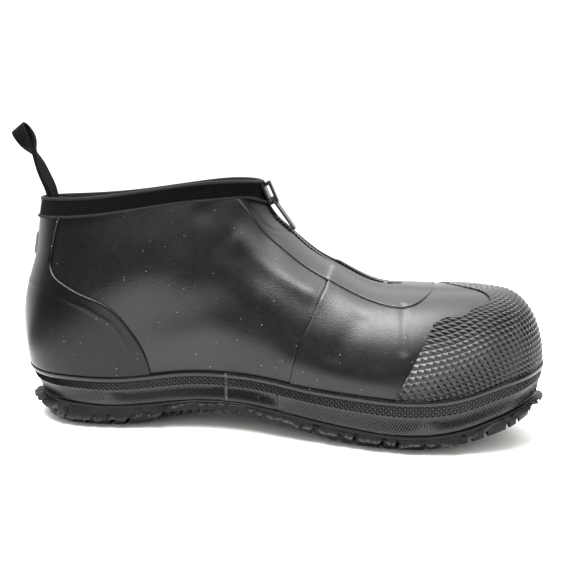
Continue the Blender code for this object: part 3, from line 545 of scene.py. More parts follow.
def vamp_painted_highlight(points):
    """Painted highlight along the vamp's back edge, where it lifts the sheet, beside the zip facing on the
    inner side.
    """
    share = np.linspace(0.67, 0.9, 60)
    line = on_last(-look_up(VAMP_EDGE, share), share, 1 * MM)
    near = np.min([np.linalg.norm(points - place, axis=1) for place in line], axis=0)
    return 0.3 * np.exp(-((near / (1.1 * MM)) ** 2))


upper = lay("upper_sheet", len(upper_columns) - 1, UPPER_ROWS, upper_place)
# A painted highlight along the vamp's back edge, beside the zip facing.
pale_lines_and_highlights(upper, vamp_painted_highlight)
close(upper)
apply_modifier(upper, "SOLIDIFY", thickness=WALL, offset=-1, material_offset=1)
shade(upper, 40, sheet_rubber, lining)
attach(upper, "shoe")
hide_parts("upper")


# Zip tape: woven strip behind the slit, sewn to the inside of the upper. Its middle carries the chain.
ZIP_TAPE_HALF, ZIP_TAPE_THICKNESS, ZIP_TAPE_DEPTH = 10 * MM, 0.9 * MM, WALL + 1.4 * MM
ZIP_TAPE_COLUMNS, ZIP_TAPE_ROWS = 90, 12
# Woven zip tape: matt black threads.
zip_tape_cloth = cloth("black_woven_zip_tape", "#0b0b0c", "#161618", 0.9 * MM, 0.8)


def beside_ridge(section, aside, lift):
    """Points beside the ridge, at a distance along the surface to the outer (plus) or inner (minus) side."""
    section = np.where(aside < 0, -section, section)
    return on_last(section, below_top(section, np.abs(aside)), lift)


def zip_tape_place(i, j):
    section = ZIP_END + (THROAT - 0.08 - ZIP_END) * i / ZIP_TAPE_COLUMNS
    return beside_ridge(section, (j / ZIP_TAPE_ROWS * 2 - 1) * ZIP_TAPE_HALF, -ZIP_TAPE_DEPTH)


zip_tape = lay("zip_tape_strip", ZIP_TAPE_COLUMNS, ZIP_TAPE_ROWS, zip_tape_place)
close(zip_tape)
apply_modifier(zip_tape, "SOLIDIFY", thickness=ZIP_TAPE_THICKNESS, offset=-1)
shade(zip_tape, 40, zip_tape_cloth)
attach(zip_tape, "shoe")
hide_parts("zip_tape")


# Zip chain: two rows of moulded plastic teeth that mesh along the middle of the slit. A bottom stop of
# metal is crimped on at the toe end.
TOOTH_PITCH, TOOTH_ASIDE, TOOTH_DROP = 2.5 * MM, 0.8 * MM, 1.1 * MM
TOOTH_SIZE, STOP_SIZE = np.array([1.5, 3.3, 2.0]) * MM, np.array([2.8, 3.8, 2.0]) * MM  # along, across, high
TOOTH_START, TOOTH_STOP = ZIP_END + 0.1, 5.17  # sections


def plain_finish(name, dark, light, rough, metallic):
    """Small hard part: one tone with a slight cloud in it and a finely worn polish."""
    made, tree, shader = new_finish(name, {"Metallic": metallic})
    at = {"Vector": (add_node(tree, "ShaderNodeTexCoord"), "Object")}
    cloud = add_node(tree, "ShaderNodeTexNoise", {}, {"Scale": 1 / (2 * MM), "Detail": 3}, at)
    tones = {6: colour(dark), 7: colour(light)}
    tone = add_node(tree, "ShaderNodeMix", COLOURS, tones, {0: (cloud, "Fac")})
    wear = {"To Min": rough - 0.08, "To Max": rough + 0.08}
    gloss = add_node(tree, "ShaderNodeMapRange", {}, wear, {"Value": (cloud, "Fac")})
    link(tree, shader, {"Base Color": (tone, "Result"), "Roughness": (gloss, "Result")})
    return made


# Moulded plastic: small even glints on black.
zip_plastic = plain_finish("black_moulded_plastic", "#161617", "#222224", 0.38, 0.0)
# Crimped nickel, worn dull: a small grey glint at the end of the chain.
stop_metal = plain_finish("worn_nickel", "#5f5e5b", "#7d7c78", 0.35, 1.0)


def blocks(name, middles, aheads, outs, size, bevel):
    """Small blocks, one at each place: one cube is bevelled, then repeated in one mesh."""
    bpy.ops.object.select_all(action="DESELECT")
    bpy.ops.mesh.primitive_cube_add(size=1, location=(0, 0, 0))
    made = bpy.context.object
    made.name = made.data.name = name
    made.data.vertices.foreach_set("co", (np.array([v.co for v in made.data.vertices]) * size).ravel())
    apply_modifier(made, "BEVEL", width=bevel, segments=2)
    corners = np.array([v.co for v in made.data.vertices])
    faces = [list(p.vertices) for p in made.data.polygons]
    aheads = unit(aheads)
    sides = unit(np.cross(outs, aheads))
    axes = np.stack([aheads, sides, np.cross(aheads, sides)], axis=1)
    points = (middles[:, None] + corners @ axes).reshape(-1, 3)
    made.data.clear_geometry()
    many = [[corner + n * len(corners) for corner in face] for n in range(len(middles)) for face in faces]
    made.data.from_pydata(points, [], many)
    return made


def ridge_run(section, lift):
    """Points along the ridge, with the way ahead towards the toe and the way out."""
    points = on_last(section, 1.0, lift)
    ahead = on_last(section - 0.02, 1.0) - on_last(section + 0.02, 1.0)
    return points, ahead, points - on_last(section, 1.0, lift - 1 * MM)


fine = np.linspace(TOOTH_START, TOOTH_STOP, 400)
way = way_along(on_last(fine, 1.0))
tooth_at = np.interp(np.arange(0, way[-1], TOOTH_PITCH / 2), way, fine)
middles, aheads, outs = ridge_run(tooth_at, -TOOTH_DROP)
middles[:, 1] += np.where(np.arange(len(tooth_at)) % 2, TOOTH_ASIDE, -TOOTH_ASIDE)
teeth = blocks("zip_chain", middles, aheads, outs, TOOTH_SIZE, 0.3 * MM)
shade(teeth, 30, zip_plastic)
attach(teeth, "shoe")
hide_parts("zip_teeth")

stop_at = np.array([ZIP_END + 0.05])
bottom_stop = blocks("zip_bottom_stop", *ridge_run(stop_at, -0.2 * MM), STOP_SIZE, 0.5 * MM)
shade(bottom_stop, 30, stop_metal)
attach(bottom_stop, "shoe")


# Zip slider and pull tab: cast metal, black coated. The tab swings on a pin under the slider's bridge and
# hangs down the instep. The solids have the real form, so they only take their finish here.
# Coated metal: smooth black with small soft glints.
slider_metal = plain_finish("black_coated_metal", "#060606", "#0d0d0e", 0.4, 0.0)
for name in ("zip_slider", "zip_pull_tab"):
    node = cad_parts[name]
    node.data.materials.clear()
    node.data.materials.append(slider_metal)


# Zip facing: a U of sheet rubber around the slit, cut flat, cemented over vamp and quarters and vulcanised.
# Its crisp outer edge shows as a dark line, and a faint line runs inside it where the sheet is rolled.
FACING_THICKNESS, FACING_SLOT, BINDING_HEIGHT = 1.0 * MM, 4.8 * MM, 11.5 * MM
UNDER_BINDING = BINDING_HEIGHT - 1 * MM
RIM_ROWS, RIM_MARGIN = (0.35, 0.8), 1.3  # millimetres inside an edge, where rows of corners round it
FACING_EDGE = np.array([
    # section and share of the rib, from the collar to the tip
    (5.80, 0.93), (5.58, 0.877), (5.38, 0.852), (5.10, 0.845), (4.70, 0.828), (4.30, 0.805), (3.80, 0.766),
    (3.45, 0.736), (3.10, 0.708), (2.90, 0.722), (2.70, 0.78), (2.50, 0.88), (2.40, 1.00),
])
FACING_LINE = np.array([
    # section and share, of the faint line
    (5.62, 0.925), (5.47, 0.893), (5.25, 0.880), (5.08, 0.892), (4.98, 0.915), (4.90, 0.935),
])


def places_at(section, share):
    return np.stack(np.broadcast_arrays(section, share), axis=1)


def edge_places(table, count):
    """Places along a smooth edge of an overlay, as rows of section and share."""
    way = way_along(table * FLAT)
    at = np.linspace(0, way[-1], count)
    return places_at(*[smooth_curve(way, table[:, i])(at) for i in (0, 1)])


def from_outline(points, outline, ring=True):
    """Distance in millimetres of places from a line of places, and whether they lie inside it."""
    x, y = (points * FLAT).T
    corners = outline * FLAT
    after = np.roll(corners, -1, axis=0)
    if not ring:
        corners, after = corners[:-1], after[:-1]
    nearest, inside = np.full(len(x), 1e9), np.zeros(len(x), bool)
    for (ax, ay), (bx, by) in zip(corners, after):
        nearest = np.minimum(nearest, from_line(x, y, ax, ay, bx, by))
        if ay != by:
            inside ^= ((ay > y) != (by > y)) & (x < (bx - ax) * (y - ay) / (by - ay) + ax)
    return nearest, inside


def fill_ring(ring, others, edges, tolerance):
    """Places and faces that fill a ring of flat points, with other points and edges kept inside it."""
    corners = [Vector(point) for point in np.concatenate([ring, others])]
    rim = [(i, (i + 1) % len(ring)) for i in range(len(ring))]
    made = delaunay_2d_cdt(corners, edges + rim, [list(range(len(ring)))], 0, tolerance)
    places = np.array([(point.x, point.y) for point in made[0]]) / FLAT
    return places, [face for face, origin in zip(made[2], made[5]) if origin]


def assemble(name, points, faces):
    """An object from points and faces, closed, without the points that no face uses."""
    mesh = bpy.data.meshes.new(name)
    mesh.from_pydata(points, [], faces)
    made = bpy.data.objects.new(name, mesh)
    bpy.context.scene.collection.objects.link(made)
    pick(made)
    bpy.ops.object.mode_set(mode="EDIT")
    bpy.ops.mesh.select_all(action="SELECT")
    bpy.ops.mesh.delete_loose()
    bpy.ops.object.mode_set(mode="OBJECT")
    close(made)
    return made


def cut_flat(name, outlines, spacing, lift, thickness):
    """Sheet cut flat to outlines and laid on the last. Lift gets sections, shares and edge distances."""
    points, faces = [], []
    for outline in outlines:
        ring = outline * FLAT
        low, high = ring.min(axis=0), ring.max(axis=0)
        x, y = np.meshgrid(*[np.arange(low[i], high[i], spacing) + spacing / 2 for i in (0, 1)])
        seeds = np.stack([x.ravel(), y.ravel()], axis=1)
        nearest, inside = from_outline(seeds / FLAT, outline)
        seeds = seeds[inside & (nearest > RIM_MARGIN)]
        ahead = np.roll(ring, -1, axis=0) - np.roll(ring, 1, axis=0)
        inward = np.stack([-ahead[:, 1], ahead[:, 0]], axis=1)
        inward /= np.linalg.norm(ahead, axis=1, keepdims=True) + 1e-9
        if np.sum(ring[:, 0] * np.roll(ring[:, 1], -1) - ring[:, 1] * np.roll(ring[:, 0], -1)) < 0:
            inward = -inward
        rims = np.concatenate([ring + inward * depth for depth in RIM_ROWS])
        nearest, inside = from_outline(rims / FLAT, outline)
        seeds = np.concatenate([rims[inside & (nearest > 0.3)], seeds])
        places, cut = fill_ring(ring, seeds, [], 1e-4)
        nearest, _ = from_outline(places, outline)
        first = sum(len(p) for p in points)
        points.append(on_last(places[:, 0], places[:, 1], lift(places[:, 0], places[:, 1], nearest)))
        faces += [[corner + first for corner in face] for face in cut]
    made = assemble(name, np.concatenate(points), faces)
    apply_modifier(made, "SOLIDIFY", thickness=thickness, offset=-1)
    return made


def facing_outline(side):
    """One half: under the binding, down the edge to the tip, along the ridge and up beside the zip."""
    edge = edge_places(FACING_EDGE, 130)
    closed = ZIP_END - 0.25
    top = np.linspace(THROAT, edge[0, 0], 12)[:-1]
    top = places_at(top, below_top(side * top, UNDER_BINDING))
    edge[0, 1] = below_top(side * edge[0, 0], UNDER_BINDING)
    ridge = places_at(np.linspace(edge[-1, 0], closed, 14)[1:], 1.0)
    slot = np.linspace(closed, THROAT, 70)[1:]
    half = FACING_SLOT * np.minimum(1, (slot - closed) / (ZIP_END - closed)) ** 0.5
    slot = places_at(slot, below_top(side * slot, half))
    places = np.concatenate([top, edge, ridge, slot])[::-side]
    return places * (side, 1)


def facing_lift(section, share, edge):
    # Where the two halves meet on the ridge there is no edge to round.
    free = np.where((np.abs(section) < ZIP_END - 0.2) & (share > 0.9), 9, edge)
    line, _ = from_outline(places_at(np.abs(section), share), FACING_LINE, ring=False)
    rounded = 0.7 * FACING_THICKNESS * np.clip(1 - free / 0.8, 0, 1) ** 2
    thin = 0.6 * MM * (1 - smooth_step(2.5, 3.0, np.abs(section)))
    rolled = 0.15 * MM * np.exp(-((line / 0.8) ** 2))
    return FACING_THICKNESS - thin - rounded - rolled + vamp_step(section, share, 1.6)


facing_halves = [facing_outline(-1), facing_outline(1)]
facing = cut_flat("zip_facing_sheet", facing_halves, 1.0, facing_lift, FACING_THICKNESS)
# The same painted highlight along the vamp's back edge, on the facing over it.
pale_lines_and_highlights(facing, vamp_painted_highlight)
shade(facing, 45, sheet_rubber)
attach(facing, "shoe")
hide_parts("zip_facing")


# Heel counter: thick sheet rubber around the heel, with a backstay up to the collar, cemented on and
# vulcanised. The edge of a stiffener beneath it shows as a soft ridge, and a small patch covers the seam
# below the collar.
COUNTER_THICKNESS, STIFFENER_RISE, PATCH_THICKNESS = 1.3 * MM, 0.3 * MM, 1.4 * MM
PATCH_SIDE, PATCH_LOW, PATCH_TOP = (14, 22), (107, 110), (123, 127)  # millimetres over which its edges slope
COUNTER_EDGE = np.array([
    # section and share of the rib, from the band to the binding
    (6.49, 0.13), (6.52, 0.18), (6.61, 0.275), (6.75, 0.36), (7.05, 0.480), (7.40, 0.540), (7.70, 0.592),
    (7.90, 0.632), (8.05, 0.694), (8.07, 0.781), (8.02, 0.87), (7.97, 0.93),
])
STIFFENER_EDGE = np.array([
    # section, share
    (6.68, 0.12), (6.70, 0.18), (6.75, 0.26), (6.85, 0.33), (6.97, 0.39), (7.06, 0.415), (7.30, 0.470),
    (7.67, 0.525), (8.06, 0.569), (8.50, 0.585), (9.00, 0.59),
])
LEVELS = np.arange(0, 90.1, 0.5) * MM
SHARE_AT = np.array([np.interp(LEVELS, rib[:, 2], SHARES) for rib in RIBS])


def share_at(section, height):
    """Share of the ribs at a height above the floor, for the lower part of the upper."""
    return between(SHARE_AT, around_last(section), height / LEVELS[-1])


def above_band(section):
    """Share of the ribs just under the top of the side band, so that the band covers the lower edge."""
    return share_at(section, (band_top(foot_x(wrapped(section)) / LENGTH) - 1.5) * MM)


def counter_outline():
    """Along the band, up the outer front edge, under the binding and down the inner front edge."""
    edge = edge_places(COUNTER_EDGE, 110)
    low, high = edge[0, 0], edge[-1, 0]
    bottom = np.linspace(low, 2 * HEEL - low, 150)
    bottom = places_at(bottom, above_band(bottom))
    top = np.linspace(high, 2 * HEEL - high, 60)[::-1]
    top = places_at(top, below_top(top, UNDER_BINDING))
    far = places_at(2 * HEEL - edge[:, 0], edge[:, 1])
    return np.concatenate([bottom, far[1:-1], top, edge[-2:0:-1]])


def counter_lift(section, share, edge):
    near = np.where(section > HEEL, 2 * HEEL - section, section)
    line, _ = from_outline(places_at(near, share), STIFFENER_EDGE, ring=False)
    rounded = 0.7 * COUNTER_THICKNESS * np.clip(1 - edge / 0.8, 0, 1) ** 2
    aside, up = np.abs(section - HEEL) * FLAT[0], share * FLAT[1]
    patch = (1 - smooth_step(*PATCH_SIDE, aside)) * smooth_step(*PATCH_LOW, up)
    patch *= 1 - smooth_step(*PATCH_TOP, up)
    ridge = STIFFENER_RISE * smooth_step(0.1, 0.3, share) * np.exp(-((line / 1.3) ** 2))
    return COUNTER_THICKNESS - rounded + ridge + PATCH_THICKNESS * patch


counter = cut_flat("heel_counter_sheet", [counter_outline()], 1.1, counter_lift, COUNTER_THICKNESS + 0.1 * MM)
# Counter rubber: the same sheet, worn duller by the heel, so that it stays darker than the sheet beside it.
counter_rubber = rubber("dull_black_sheet_rubber", "#070708", "#0b0b0b", 0.3, 0.7 * MM, 0.25, specular=0.3)
shade(counter, 45, counter_rubber)
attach(counter, "shoe")
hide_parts("heel_counter")


# Toe cap: thick moulded rubber bumper with a knurl of small four-sided pyramids, cemented over the vamp. The
# pyramids follow two sets of grooves, about 3.2 and 2.6 mm apart, which run around the toe and up it.
CAP_BASE, CAP_POINT = 1.1 * MM, 1.25 * MM  # under the grooves, and from the grooves to the sharpest points
ROW_PITCH, COLUMN_PITCH = 3.2, 2.55  # millimetres from groove to groove, low on the front of the toe
CAP_BACK_EDGE = np.array([(3.15, 0.20), (2.88, 0.42), (2.65, 0.60)])  # section and share, from the band up
CAP_INNER_TOP = np.array([
    # section and share of the rib, from the corner to the ridge
    (2.65, 0.60), (2.40, 0.635), (2.22, 0.628), (2.04, 0.656), (1.79, 0.682), (1.55, 0.70), (1.42, 0.735),
    (1.39, 0.80), (1.48, 0.855), (1.62, 0.90), (1.75, 1.00),
])
CAP_OUTER_TOP = np.array([(2.65, 0.60), (2.62, 0.72), (2.45, 0.83), (2.15, 0.93), (1.75, 1.00)])
CAP_REACH = 3.4  # sections on both sides where the grooves are worked out


def cap_grooves():
    """Count of the grooves up the toe and around it, at every place of the last near the toe."""
    sections = SECTIONS[np.abs(SECTIONS) <= CAP_REACH]
    points = on_last(sections[:, None], SHARES[None], 2.2 * MM) / MM
    middle = len(sections) // 2
    around = way_along(points)
    around -= around[middle]
    up = way_along(points, 1)
    # Over the top the grooves run straight across, so that they do not gather where the ribs meet.
    half = len(SHARES) // 2
    x, front, rise = points[..., 0], points[middle, half:, 0], up[middle, half:]
    over = np.where(x > front[-1], np.interp(-x, -front, rise), rise[-1] + front[-1] - x)
    top = smooth_step(0.6, 0.95, SHARES)[None]
    around = around * (1 - top) + (points[..., 1] - points[:, -1:, 1]) * top
    up = up * (1 - top) + over * top
    # The rows sag a little towards the sides, and the columns spread as they go up.
    g, h = around / 100, up / 100
    rows = up / ROW_PITCH + 2.4 * g**2 - 0.65 * g**2 * h
    columns = around / COLUMN_PITCH - 18 * g * np.minimum(h, 0.85) - 4.1 * g**3
    return sections, np.stack([rows, columns], axis=-1)


def cap_outline():
    """Along the band, up the outer back edge, around the tongue of the vamp and down the inner back edge."""
    back = edge_places(CAP_BACK_EDGE, 40)
    low = back[0, 0]
    bottom = np.linspace(-low, low, 140)
    bottom = places_at(bottom, above_band(bottom))
    outer, inner = edge_places(CAP_OUTER_TOP, 40), edge_places(CAP_INNER_TOP, 60)
    closed = outer[-1, 0]
    ridge = places_at(np.linspace(closed, -closed, 41)[1:-1], 1.0)
    mirror = (-1, 1)
    return np.concatenate([bottom, back[1:], outer[1:], ridge, inner[:0:-1] * mirror, back[:0:-1] * mirror])


groove_sections, groove_table = cap_grooves()


def groove_count(places):
    """Counts of both sets of grooves at places, between the worked-out ones."""
    return between(groove_table, (places[:, 0] + CAP_REACH) / (2 * CAP_REACH), places[:, 1])


def knurl_points():
    """Places of the groove crossings and of the pyramids' points, and the edges between them."""
    table = groove_table[:, ::2].reshape(-1, 2)
    place = np.stack(np.meshgrid(groove_sections, SHARES[::2], indexing="ij"), axis=-1).reshape(-1, 2)
    rows = np.arange(math.floor(table[:, 0].min()), math.ceil(table[:, 0].max()) + 1)
    columns = np.arange(math.floor(table[:, 1].min()), math.ceil(table[:, 1].max()) + 1)
    want = np.array([(r + d, c + d) for d in (0, 0.5) for r in rows for c in columns])
    found = np.array([place[np.argmin(((table - w) ** 2).sum(axis=1))] for w in want])
    # Each place is moved until the counts there are the wanted ones.
    for _ in range(6):
        miss = want - groove_count(found)
        across, upward = (
            (groove_count(found + near) - groove_count(found - near)) / 0.008
            for near in ((0.004, 0), (0, 0.004))
        )
        bend = across[:, 0] * upward[:, 1] - across[:, 1] * upward[:, 0]
        bend = np.where(np.abs(bend) < 1e-3, 1e9, bend)
        along = miss[:, 0] * upward[:, 1] - miss[:, 1] * upward[:, 0]
        up = miss[:, 1] * across[:, 0] - miss[:, 0] * across[:, 1]
        step = np.stack([along, up], axis=1) / bend[:, None]
        found = np.clip(found + np.clip(step, -0.08, 0.08), (-CAP_REACH, 0), (CAP_REACH, 1))
    good = np.abs(want - groove_count(found)).max(axis=1) < 0.02
    number = {tuple(w): i for i, w in enumerate(want) if good[i]}
    # A crossing joins the next one along each groove, and a pyramid's point joins its four crossings.
    around = [(a, b) for a in (-0.5, 0.5) for b in (-0.5, 0.5)]
    edges = []
    for r, c in number:
        for a, b in [(1, 0), (0, 1)] if r == int(r) else around:
            if (r + a, c + b) in number:
                edges.append((number[r, c], number[r + a, c + b]))
    kept = sorted({i for edge in edges for i in edge})
    order = {old: new for new, old in enumerate(kept)}
    return found[kept], [(order[a], order[b]) for a, b in edges]


def cap_surface():
    """Points and faces of the cap's outer side. Towards its top it thins and its pyramids are worn lower."""
    ring = cap_outline()
    knots, edges = knurl_points()
    nearest, inside = from_outline(knots, ring)
    keep = inside | (nearest < 6)
    order = np.cumsum(keep) - 1 + len(ring)
    edges = [(int(order[a]), int(order[b])) for a, b in edges if keep[a] and keep[b]]
    places, faces = fill_ring(ring * FLAT, knots[keep] * FLAT, edges, 1e-3)
    section, share = places.T
    off = np.abs(2 * (groove_count(places) % 1) - 1).max(axis=1)
    low = 1 - 0.35 * smooth_step(0.55, 0.72, share) - 0.35 * smooth_step(0.8, 0.95, share)
    point = CAP_POINT * (0.6 - 0.08 * smooth_step(0.2, 0.5, share) - 0.24 * smooth_step(0.5, 0.72, share))
    return on_last(section, share, CAP_BASE * low + point * (1 - off)), faces


toe_cap = assemble("toe_cap_knurl", *cap_surface())
apply_modifier(toe_cap, "SOLIDIFY", thickness=CAP_BASE + 0.2 * MM, offset=-1)
# Moulded rubber: a little shinier than the sheet, so that every pyramid and rib has a small clear glint.
moulded_rubber = rubber("satin_black_moulded_rubber", "#08080a", "#0d0d0e", 0.24, 0.7 * MM, 0.08)
shade(toe_cap, 12, moulded_rubber)
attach(toe_cap, "shoe")
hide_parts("toe_cap")


# Insole: filler sheet of felt, cut flat and laid on the outsole inside the upper. The solid has the real
# form, so it only takes its finish here.
# Felt: dull and dark, barely seen at the bottom of the opening.
felt = cloth("dark_grey_felt", "#1a1a1b", "#2b2b2c", 1.5 * MM, 0.95)
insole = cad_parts["insole"]
insole.data.materials.clear()
insole.data.materials.append(felt)


# Outsole: one moulding of harder rubber, cemented under the upper. Its edge is a thin skirt with a lip along
# the top and teeth cut by slanting notches. Lugs and waist bars stand lower under the plate inside it.
SOLE_EDGE = np.array([
    # along, lug bottoms, lug roots, lower edge of the skirt, in millimetres above the floor
    (0.000, 8.0, 11.5, 13.5),
    (0.038, 3.4, 8.6, 11.0),
    (0.068, 1.0, 8.0, 6.6),
    (0.100, 0.0, 8.0, 4.6),
    (0.210, 0.0, 8.0, 5.8),
    (0.280, 3.3, 9.4, 8.4),
    (0.301, 4.4, 9.9, 12.8),
    (0.324, 5.7, 10.6, 14.0),
    (0.350, 7.2, 11.5, 16.4),
    (0.410, 9.5, 13.0, 16.8),
    (0.462, 8.6, 12.3, 16.0),
    (0.500, 7.5, 11.5, 13.0),
    (0.560, 4.5, 9.6, 9.8),
    (0.640, 0.7, 7.4, 7.2),
    (0.710, 0.0, 6.8, 6.0),
    (0.776, 0.0, 6.5, 5.4),
    (0.850, 2.4, 8.4, 6.4),
    (0.890, 5.9, 11.6, 12.4),
    (0.930, 10.0, 15.5, 18.0),
    (0.975, 15.8, 20.7, 23.0),
    (1.000, 19.0, 23.5, 26.0),
    (1.015, 21.0, 25.0, 28.0),
])
SKIRT_COLUMNS, SKIRT_OUT = 1760, 3.6 * MM
SKIRT_PROFILE = np.array([
    # millimetres out from the sole line, then the shares of the lip, of the wall under it and of the tuck
    (-7.0, 0.0, 0.00, 1.00),
    (0.8, 0.0, 0.00, 1.00),
    (1.6, 0.2, 0.00, 1.00),
    (1.9, 0.5, 0.00, 1.00),
    (1.8, 0.8, 0.00, 1.00),
    (1.4, 1.0, 0.00, 1.00),
    (1.6, 1.0, 0.35, 0.75),
    (2.0, 1.0, 0.70, 0.45),
    (2.9, 1.0, 0.95, 0.20),
    (2.7, 1.0, 1.00, 0.20),
    (0.0, 1.0, 0.90, 0.20),
    (-6.0, 1.0, 0.70, 0.20),
    (-7.0, 1.0, 0.50, 0.20),
])
SKIRT_ROWS, LIP_ROW, RIM_ROW = len(SKIRT_PROFILE), 5, 9  # how many rows, the last of the lip, the lowest
LIP_HEIGHT, NOTCH_CUT, WAIST_CUT = 2.3 * MM, 3.6 * MM, 1.6 * MM
NOTCHES = [
    # millimetres from the toe tip, along the inner side
    13, 22, 37, 45, 60, 69, 84, 92, 107, 115, 132, 141, 158, 166, 254, 267, 276, 291, 301, 320, 330, 345, 354
]
WAIST_NOTCHES = np.arange(191, 236, 6.3)
# Sole rubber: dull, a little greyer, and dusty from the floor.
sole_rubber = rubber("dull_black_sole_rubber", "#070708", "#0c0c0d", 0.5, 0.9 * MM, 0.08, specular=0.3)


def edge_height(x, column):
    """Height of a line of the sole at places along the foot, in metres."""
    return look_up(SOLE_EDGE, x / LENGTH, column) * MM


loop = np.linspace(-HEEL, HEEL, 3001)
loop_points, loop_out = foot_line(loop)
loop_way = way_along(loop_points + loop_out * SKIRT_OUT)
chance = np.random.RandomState(4)
ragged = chance.uniform(-1, 1, (2, SKIRT_COLUMNS + 1))
ragged[:, -1] = ragged[:, 0]
NOTCH_REACH = chance.uniform(0.7, 1.9, (len(NOTCHES), 2))  # millimetres towards the toe and the heel
NOTCH_DEPTH = chance.uniform(0.45, 1.0, len(NOTCHES))


def skirt_place(i, j):
    j = j % SKIRT_ROWS
    along = i / SKIRT_COLUMNS * loop_way[-1]
    section = np.interp(along, loop_way, loop)
    toe = np.interp(0, loop, loop_way)
    from_toe = np.abs(along - toe) / MM * np.where(section > 0, toe / (loop_way[-1] - toe), 1)
    foot, out = foot_line(section)
    edge_x = foot[:, 0] + out[:, 0] * SKIRT_OUT
    top = np.maximum(0, sole_top(foot[:, 0] / LENGTH)) * MM
    wave = np.sin(from_toe / 1.7) * np.sin(from_toe / 5.3 + 1)
    wave += 0.9 * np.sin(from_toe / 4.1 + 2 * np.sin(from_toe / 23))
    rim = edge_height(edge_x, 3) + (0.2 * ragged[0][i] + 0.55 * wave) * MM
    rim = np.minimum(rim, top - 1.2 * MM)
    tall = top - rim
    tooth = np.ones(len(along))
    for at, (before, after), depth in zip(NOTCHES, NOTCH_REACH, NOTCH_DEPTH):
        beyond = (from_toe - at) / np.where(from_toe < at, before, after)
        tooth = np.minimum(tooth, 1 - depth * (1 - smooth_step(0.3, 1.9, np.abs(beyond))))
    comb = np.clip(np.min([np.abs(from_toe - at) for at in WAIST_NOTCHES], axis=0) - 0.7, 0, 1)
    cut = (1 - tooth) * np.minimum(NOTCH_CUT, 0.5 * tall) + (1 - comb) * np.minimum(WAIST_CUT, 0.5 * tall)
    lip = np.minimum(LIP_HEIGHT, 0.5 * tall)
    outs, in_lip, in_wall, in_tuck = SKIRT_PROFILE[j].T
    outs = outs * MM
    height = top - lip * in_lip - (tall - lip) * in_wall
    height = np.maximum(height, np.where(j > LIP_ROW, rim + cut, 0))
    # The teeth stand out more at the toe and heel, where the inside of the skirt has less room.
    ends = np.clip(1.4 - np.abs(section), 0, 1) + np.clip(np.abs(section) - 7.6, 0, 1)
    face = (j > LIP_ROW) & (j <= RIM_ROW)
    room = np.interp(np.abs(section), [0, 0.6, 8.4, 9], [0.15, 1, 1, 0.15])
    outs = np.where(outs < 0, outs * room, outs)
    drawn = look_up(TUCK, np.abs(section)) * MM
    # Fine slanting lines beside the heel.
    hatch = 0.35 * smooth_step(250, 262, from_toe) * (1 - smooth_step(330, 345, from_toe))
    hatch *= (i + 2 * j) // 3 % 2
    outs = outs + face * (hatch + 0.15 * ragged[1][i] - 0.9 * (1 - tooth) + 0.8 * ends * tooth) * MM
    outs = outs - drawn * in_tuck
    return np.column_stack([foot + out * outs[:, None], height]) - ORIGIN


skirt = lay("outsole_skirt", SKIRT_COLUMNS, SKIRT_ROWS, skirt_place)
skirt_row = np.arange((SKIRT_ROWS + 1) * (SKIRT_COLUMNS + 1)) // (SKIRT_COLUMNS + 1)
# Painted highlight along the skirt's two lowest rows, where its burred rim catches the light.
pale_lines_and_highlights(skirt, lambda points: 0.04 * (skirt_row == RIM_ROW - 1) + 0.12 * (skirt_row == RIM_ROW))
close(skirt)
shade(skirt, 32, sole_rubber)
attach(skirt, "shoe")
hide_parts("outsole")


def across_sole(section, lane, margin, bend=0.0):
    """Plan points at shares of the width between the inner and outer edges, bent back in the middle."""
    ends = []
    for side in (-1, 1):
        foot, out = foot_line(side * section)
        ends.append(foot + out * margin)
    wide = np.linalg.norm(ends[1] - ends[0], axis=-1)
    points = ends[0] + (ends[1] - ends[0]) * lane[..., None]
    points[..., 0] -= bend * np.minimum(1, wide / BALL_WIDTH) ** 2 * np.sin(math.pi * lane)
    return points


PLATE_COLUMNS, PLATE_ROWS, PLATE_THICKNESS = 150, 10, 4.8 * MM


def plate_place(i, j):
    points = across_sole(0.03 + (HEEL - 0.06) * i / PLATE_COLUMNS, j / PLATE_ROWS, -2 * MM)
    return np.column_stack([points, edge_height(points[:, 0], 2)]) - ORIGIN


plate = lay("outsole_plate", PLATE_COLUMNS, PLATE_ROWS, plate_place)
close(plate)
apply_modifier(plate, "SOLIDIFY", thickness=PLATE_THICKNESS, offset=-1)
close(plate)
shade(plate, 40, sole_rubber)
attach(plate, "shoe")

LUG_LANES = [(0.0, 0.17), (0.21, 0.48), (0.52, 0.79), (0.83, 1.0)]


def lug_rows():
    """Rows of lugs and bars from toe to heel, as pairs of sections, and whether each is one bar.

    Lengths and gaps are in millimetres."""
    fine = np.linspace(0, HEEL, 400)
    way = sum(way_along(foot_line(side * fine)[0]) for side in (-1, 1)) / 2 / MM
    rows, place = [], 0.0
    waist, breast = np.interp([5.15, 6.5], fine, way)

    def add(length, gap, bar):
        nonlocal place
        rows.append((*np.interp([place, place + length], way, fine), bar))
        place += length + gap

    add(9, 2, True)
    for stop, lengths, gap, bar in (
        (waist, (14.5, 7.5), 2, False),
        (breast, (2.8,), 2.8, True),
        (way[-1] - 30, (14.5, 7.5), 2, False),
    ):
        while place < stop:
            for length in lengths:
                add(length, gap, bar)
    add(way[-1] - place, 0, True)
    return rows


